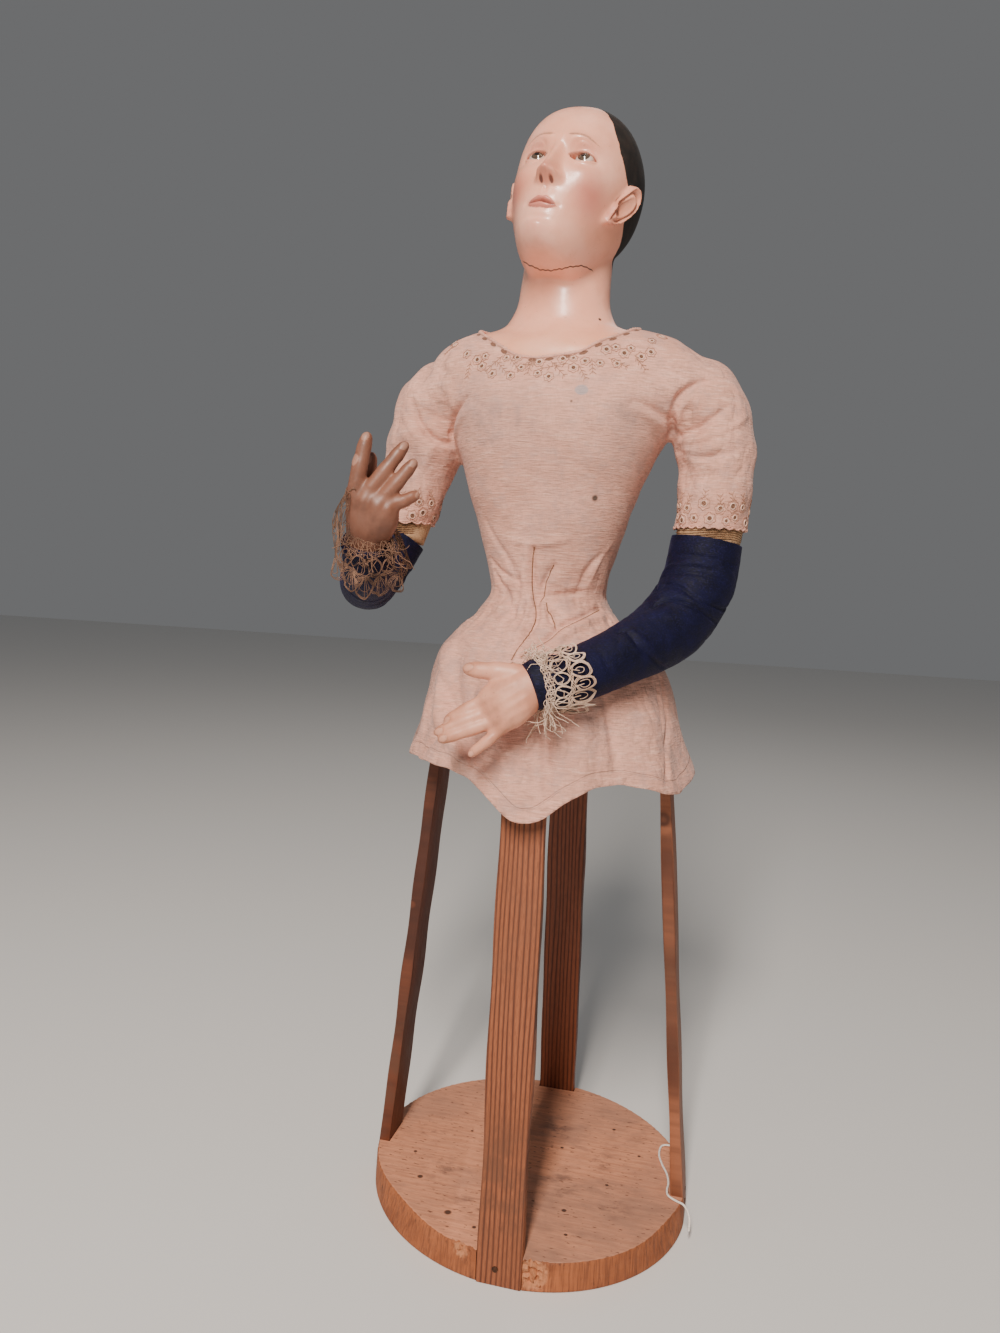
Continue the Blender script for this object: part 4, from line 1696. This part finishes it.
def hand_form(side, wrist, along, back, fingers, thumb):
    """A hand as one fused skin in mm in its own frame, with its nails' places."""
    parts = [loft([level_ring(0, 0, z, [half, half, deep, deep], 2.4)
                   for z, half, deep in smooth(palm_rows, 4)], 48)]
    nails = []
    for values in fingers:
        line = finger_points(*values)
        radius = values[3]
        parts.append(limb(line, [radius, radius * 1.02, radius * 0.98, radius * 0.88, radius * 0.7], 30, 24,
                          dome=0.12, shape=joints(0.5, 0.75)))
        nails.append((line, radius))
    parts.append(limb(thumb, [7.8, 7.6, 6.2, 5.2, 3.9], 30, 24, dome=0.12, wide=(0, 0, 1),
                      shape=joints(0.5, 0.76)))
    nails.append((thumb, 5.4))
    skin = fused(parts, 0.9)
    soften(skin, 5)
    soften(skin, 14, verts=[vert for vert in skin.verts
                            if 0.027 < vert.co.z < 0.042 and abs(vert.co.x) < 0.017])
    return skin, nails


# %% [markdown]
# The hands have the head's paint, browner and duller, with dirt in the hollows.

# %% The hands' paint
def hand_finish(name, shade, brown, worn):
    f, colour, strokes, relief_normal = flesh_finish(name, shade, brown)
    colour = f.mix(f.noise(48, 4, 0.6).between(0.42, 0.68, 0.0, worn), colour,
                   tuple(c * 0.62 for c in brown))
    colour = f.over(
        colour,
        (f.value("hollow") * 0.9, (0.15, 0.05, 0.025)),
        (f.value("nail").between(0.3, 0.7) * 0.25, (0.80, 0.47, 0.36)),
        (f.value("nail_edge") * 0.45, (0.26, 0.10, 0.06)),
    )
    return f.set(Base_Color=colour, Roughness=strokes.between(0.25, 0.75, 0.42, 0.58), Coat_Weight=0.08,
                 Coat_Roughness=0.3, Subsurface_Weight=0.05, Subsurface_Scale=0.003, Normal=relief_normal)


hand_paint = {"left": hand_finish("hand_paint", (0.74, 0.35, 0.235), (0.47, 0.18, 0.10), 0.4),
              "right": hand_finish("hand_paint_browner", (0.24, 0.10, 0.062), (0.14, 0.05, 0.027), 0.6)}


# %% [markdown]
# A nail is an oval with a fine groove round it, and each joint has a crease inside. Both are
# found from the finger's own line, so they follow its bend.

# %% Nails and joints
def nail_marks(places, line, radius, facing):
    """How much each place lies on a nail and on its edge, its lift there, and the way the nail faces."""
    tip, before = Vector(along_line(line, 0.93)), Vector(along_line(line, 0.84))
    way = (Vector(along_line(line, 1.0)) - before).normalized()
    face = (facing - way * facing.dot(way)).normalized()
    across = way.cross(face)
    offset = places - np.array(before.lerp(tip, 0.6) + face * radius * 0.62)
    along_nail, over_nail = offset @ np.array(way), offset @ np.array(across)
    oval = np.hypot(along_nail / (radius * 0.66), over_nail / (radius * 0.5))
    on = smoothstep(-2.6, -0.4, offset @ np.array(face))
    lift = on * (0.12 * smoothstep(1.05, 0.9, oval) - 0.2 * bell(oval, 1.1, 0.13))
    return smoothstep(1.06, 0.9, oval) * on, bell(oval, 1.04, 0.14) * on, lift, np.array(face)


def joint_folds(places, line, radius, face):
    """The creases on a finger's inner side, one for each of its two joints."""
    for share in (0.5, 0.75):
        way = np.array(along_line(line, share + 0.02)) - np.array(along_line(line, share - 0.02))
        way /= np.linalg.norm(way)
        gap = places - np.array(along_line(line, share))
        inside = np.linalg.norm(gap - (gap @ way)[:, None] * way, axis=1) < radius * 1.5
        yield bell(gap @ way, 0, 0.55) * inside * smoothstep(0, radius * 0.6, gap @ -face)


# %% The hands
HAND_SCALE = 1.04
HOLLOW_REACH = 0.006
for name, values in hand_places.items():
    skin, nails = hand_form(**values)
    places = points_of(skin)
    x, y, z = places.T
    rise = np.zeros(len(places))
    for across, *_ in values["fingers"]:
        rise += 0.5 * bell(x, across, 3.2) * bell(z, 35, 3.5) * smoothstep(0, -5, y)
        rise += (0.4 * bell(x, across * 0.8, 1.6) * smoothstep(8, 16, z) * smoothstep(36, 30, z)
                 * smoothstep(0, -5, y))
        rise -= 0.5 * bell(x, across + 3.8, 1.8) * smoothstep(24, 34, z) * smoothstep(42, 36, z)
    rise += 2.2 * bell(x, -8, 6) * bell(z, 13, 9) * smoothstep(0, 4, y)
    rise += 0.9 * bell(x, 9, 5) * bell(z, 12, 9) * smoothstep(0, 4, y)
    rise -= 0.7 * bell(x, 1, 5) * bell(z, 22, 7) * smoothstep(0, 4, y)
    nail, nail_edge, hollow = (np.zeros(len(places)) for _ in range(3))
    for line, radius in nails:
        facing = Vector((-0.25 if line is nails[-1][0] else 0, -1, 0))
        on_nail, on_edge, lift, face = nail_marks(places, line, radius, facing)
        nail, nail_edge = np.maximum(nail, on_nail), np.maximum(nail_edge, on_edge)
        rise += lift
        for fold in joint_folds(places, line, radius, face):
            rise -= 0.5 * fold
            hollow = np.maximum(hollow, fold * 0.7)
    places += normals_of(skin) * rise[:, None]
    move_points(skin, places)
    soften(skin, 1, 0.3)
    places = points_of(skin)
    tree = BVHTree.FromBMesh(skin)
    for k, vert in enumerate(skin.verts):
        hit = tree.ray_cast(vert.co + vert.normal * 0.0004, vert.normal, HOLLOW_REACH)
        if hit[0] is not None:
            hollow[k] = max(hollow[k], 1 - hit[3] / HOLLOW_REACH)
    write_values(skin, "nail", nail)
    write_values(skin, "nail_edge", nail_edge)
    write_values(skin, "hollow", hollow)
    forward = Vector(values["along"]).normalized()
    back = Vector(values["back"])
    deep = (forward * back.dot(forward) - back).normalized()
    turned = Matrix((deep.cross(forward), deep, forward)).transposed()
    placed = (places * HAND_SCALE * [values["side"], 1, 1]) @ np.array(turned).T + np.array(values["wrist"])
    move_points(skin, placed)
    bmesh.ops.recalc_face_normals(skin, faces=skin.faces[:])
    trees["hand_" + name] = BVHTree.FromBMesh(skin)
    piece(f"hand_{name}_carving", skin, hand_paint[name], "flesh_paint", f"hand_{name}")

# %% [markdown]
# ## The lace cuffs
# Thread lace: a dense heading, a row of open ovals, a braid and an edge of corded loops,
# gathered round the end of each sleeve, worn and torn in places. The motif is drawn flat,
# as places along and across a strip, and the strip is then set round the arm.

# %% The lace's finish
def lace_finish(name, light, dark):
    f = Finish(name)
    twist = f.noise(800, 2, 0.6)
    colour = f.mix(f.noise(60, 3, 0.6).between(0.35, 0.7), light, dark)
    colour = f.mix(twist.between(0.4, 0.8, 0.0, 0.6), colour, tuple(c * 0.45 for c in dark))
    return f.set(Base_Color=colour, Roughness=0.85, Normal=f.bump(twist, 0.3, 0.6))


lace = {"left": lace_finish("lace", (0.80, 0.60, 0.47), (0.56, 0.37, 0.26)),
        "right": lace_finish("lace_browner", (0.27, 0.145, 0.09), (0.075, 0.035, 0.019))}


# %% Lace drawn flat
def flat_lace(length, rng, fans):
    """Threads of a strip of lace as lines of (along, across) in mm. The heading is at 0."""
    def oval(middle, level, half, tall, turns, lean=0.0):
        return [(middle + half * math.sin(t) + lean * math.cos(t) * 5, level + tall * math.cos(t))
                for t in turns]

    lines = []
    count = round(length / 11.0)
    pitch = length / count
    for k in range(5):
        lines.append([(s, 0.8 + k * 1.8 + 0.6 * math.sin(s * 0.8 + k * 1.9))
                      for s in np.arange(0, length + 0.1, 1.6)])
    for k in range(round(length / 2.8)):
        s = k * 2.8 + rng.uniform(-0.6, 0.6)
        lines.append([(s, 0.4), (s + rng.uniform(-1.4, 1.4), 4.2), (s + rng.uniform(-1.0, 1.0), 8.8)])
    for k in range(count):
        middle, lean = k * pitch + rng.uniform(-0.7, 0.7), rng.uniform(-0.12, 0.12)
        size = rng.uniform(0.88, 1.12)
        for grow in (0.0, 0.62):
            turns = np.linspace(0, 2 * math.pi, 17)
            lines.append(oval(middle, 14.6, 4.6 * size + grow, 5.0 * size + grow, turns, lean))
        for _ in range(2):
            a, b = rng.uniform(0, 6.28, 2)
            knot = (middle + rng.uniform(-1, 1), 14.6 + rng.uniform(-1, 1))
            (start,), (end,) = oval(middle, 14.6, 4.6, 5, [a]), oval(middle, 14.6, 4.6, 5, [b])
            lines.append([start, knot, end])
    for k in range(4):
        lines.append([(s, 20.0 + k * 0.62 + 0.45 * math.sin(s * 1.1 + k * 1.6))
                      for s in np.arange(0, length + 0.1, 1.5)])
    for k in range(count):
        middle, size = (k + 0.5) * pitch + rng.uniform(-0.6, 0.6), rng.uniform(0.9, 1.08)
        for grow, squeeze in ((0.0, 1), (0.55, 1), (1.1, 0.98)):
            turns = np.linspace(-2.9, 2.9, 21)
            lines.append(oval(middle, 28.2, 4.7 * size + grow, (6.2 * size + grow) * squeeze, turns))
        turns = np.linspace(-2.4, 2.4, 12) + rng.uniform(-0.8, 0.8)
        lines.append(oval(middle, 27.4, 2.6, 3.6, turns))
        lines.append([(middle + rng.uniform(-2, 2), 22.0), (middle + rng.uniform(-1.5, 1.5), 27.0)])
        for j in range(7 if fans else 0):
            t = -1.8 + 0.6 * j
            lines.append([(middle + math.sin(t), 22.4),
                          (middle + 5.2 * math.sin(t), 28.2 + 6.4 * math.cos(t))])
    sway = 0.8 if fans else 0.4
    return [[(s + sway * math.sin(v * 0.45 + s * 0.8), v + sway * math.sin(s * 0.5 + v * 0.3))
             for s, v in line]
            for line in lines]


def stray(start, way, count, curl, rng):
    """A loose thread that wanders off from a place."""
    spots, way = [np.array(start, float)], np.array(way, float)
    for _ in range(count):
        way = way + rng.normal(0, curl, 3)
        way /= np.linalg.norm(way)
        spots.append(spots[-1] + way * 1.3)
    return spots


def clear_of(names, spots, gap):
    """Lifts the places that would lie in other pieces out onto them."""
    lifted = []
    for spot in spots:
        spot = Vector(spot) * MM
        for name in names:
            near, normal, _, away = trees[name].find_nearest(spot)
            if away < 0.02 and (spot - near).dot(normal) < gap * MM:
                spot = near + normal * gap * MM
        lifted.append(spot / MM)
    return lifted


# %% [markdown]
# A strip is bent round its wrist by a function from its length and width to a place. The
# left one lies back over the silk; the right one falls from the hand's root.

# %% Where the lace lies round the wrists
def left_place(turn, v):
    """The strip lies back over the silk from the wrist, on a line inside the sleeve."""
    axis = [(8.5, -112.8, 400.8), (18, -106.4, 403.2), (30, -96, 405.5), (45, -81, 413)]
    share = v / 50
    centre = along_line(axis, min(share, 1))
    way = along_line(axis, min(share + 0.01, 1)) - along_line(axis, max(share - 0.01, 0))
    across = np.cross(way, (0, 0, 1))
    across /= np.linalg.norm(across)
    up = np.cross(across, way / np.linalg.norm(way))
    radius = 16.8 + 0.14 * v + 1.7 * (v / 35) * math.sin(turn * 9 + 0.8 * math.sin(turn * 2))
    return centre + across * math.sin(turn) * radius + up * math.cos(turn) * radius


def right_place(turn, v):
    """The strip is drawn round the hand's root and falls from it over the end of the sleeve."""
    forward = np.array(hand_places["right"]["along"])
    forward /= np.linalg.norm(forward)
    across = np.cross(forward, (0, 0, 1))
    across /= np.linalg.norm(across)
    up = np.cross(across, forward)
    out = across * math.sin(turn) + up * math.cos(turn)
    rise = 17 + 24 * math.exp(-((turn - 1.0) / 0.7) ** 2)
    start = (np.array([-102.5, -132, 480]) + forward * rise + across * math.sin(turn) * 14.6
             + up * math.cos(turn) * 12.0)
    facing = 0.5 - 0.5 * math.cos(turn)
    back = np.array([-0.30, 0.90, -0.28])
    fall = np.array([-0.10, 0.16, -0.98]) * facing + back * (1 - facing) + out * 0.22
    fall /= np.linalg.norm(fall)
    ruffle = 2.4 * (v / 35) * math.sin(turn * 7 + 0.7 * math.sin(turn * 3))
    return start + out * (1.2 + min(v, 6) * 0.55) + fall * v * (0.70 + 0.20 * facing) + out * ruffle


# %% [markdown]
# A thread that would pass into the hand, the silk or the linen is lifted clear of it. Loose
# threads are a piece of their own, beside the cloth's own area.

# %% The cuffs as pieces
LACE_LENGTH = 150
rng = np.random.default_rng(23)
for side, place, strays in (("left", left_place, 90), ("right", right_place, 30)):
    lines = []
    solids = ["silk_" + side, "hand_" + side, "linen"]
    for line in flat_lace(LACE_LENGTH, rng, side == "right"):
        spots = [place(2 * math.pi * s / LACE_LENGTH, v) for s, v in line]
        lines.append((clear_of(solids, spots, 0.55), False))
    loose = []
    for k in range(strays):
        upward = k % 2 and side == "left"
        turn = rng.uniform(-1.1, 1.1) if upward else rng.uniform(2.0, 4.3)
        root = place(turn, rng.uniform(0, 9))
        out = (root - place(turn + math.pi, 2)) / 36
        way = out * 0.8 + (0, -0.2, 0.4) if upward else out * 0.3 + (rng.uniform(-0.3, 0.6), 0, -1)
        count = int(rng.integers(8, 15) if k % 2 or side == "right" else rng.integers(10, 24))
        loose.append((clear_of(solids, stray(root, way, count, 0.55 if k % 2 else 0.22, rng), 0.5), False))
    cuff = threads(lines, 0.30 if side == "left" else 0.21, 4)
    bmesh.ops.recalc_face_normals(cuff, faces=cuff.faces[:])
    strays_piece = piece(f"lace_cuff_{side}_loose_threads", threads(loose, 0.25, 4), lace[side], "lace")
    print("lace", side, "thread area", round(sum(face.calc_area() for face in cuff.faces), 5), "m2")
    made = piece(f"lace_cuff_{side}_threads", cuff, lace[side], "lace", f"lace_cuff_{side}")

# %% [markdown]
# ## The string, as a piece
# Its route was settled at the start. A fine twist is in its finish.

# %% The string's curve
curve = thread_curve("string_line", [(string_points, False)], 0.8, 3)
f = Finish("string_cotton")
ply = f.noise(1500, 2, 0.6, f.stretched(1.0, 0.6, 1.0))
string_cotton = f.set(Base_Color=f.mix(ply.between(0.35, 0.7), (0.93, 0.88, 0.83), (0.72, 0.64, 0.56)),
                      Roughness=0.85, Normal=f.bump(ply, 0.4, 0.8))
curve.materials.append(string_cotton)
string = in_scene("string_cord", curve)
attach(string, "root")
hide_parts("string")

# %% [markdown]
# ## Floor and light
# A pale floor, a tall soft light high up in front, which draws one long highlight down
# the neck, two weaker lights and a pale surround.

# %% Floor and light
floor = bmesh.new()
bmesh.ops.create_grid(floor, x_segments=2, y_segments=2, size=6.0)
floor_piece = in_scene("floor", as_data("floor", floor))
f = Finish("floor_paper")
floor_piece.data.materials.append(f.set(Base_Color=(0.78, 0.77, 0.75), Roughness=0.9))
world = bpy.data.worlds.new("surround")
bpy.context.scene.world = world
world.use_nodes = True
world.node_tree.nodes["Background"].inputs[0].default_value = (0.92, 0.93, 0.95, 1)
world.node_tree.nodes["Background"].inputs[1].default_value = 0.165
for name, place, size, power, tint in (
        ("key", (0.05, -1.75, 1.8), (0.26, 1.2), 78, (1.0, 0.90, 0.81)),
        ("fill", (-1.7, -1.0, 0.7), (1.2, 1.2), 3, (1.0, 0.95, 0.92)),
        ("back", (0.2, 1.7, 1.9), (1.0, 1.0), 3, (1.0, 0.97, 0.94))):
    lamp = bpy.data.lights.new(name, "AREA")
    lamp.shape = "RECTANGLE"
    lamp.size, lamp.size_y = size
    lamp.energy = power
    lamp.color = tint
    light = in_scene(name, lamp)
    light.rotation_mode = "QUATERNION"
    light.location = place
    light.rotation_quaternion = (Vector((0, 0, 0.4)) - Vector(place)).to_track_quat("-Z", "Y")
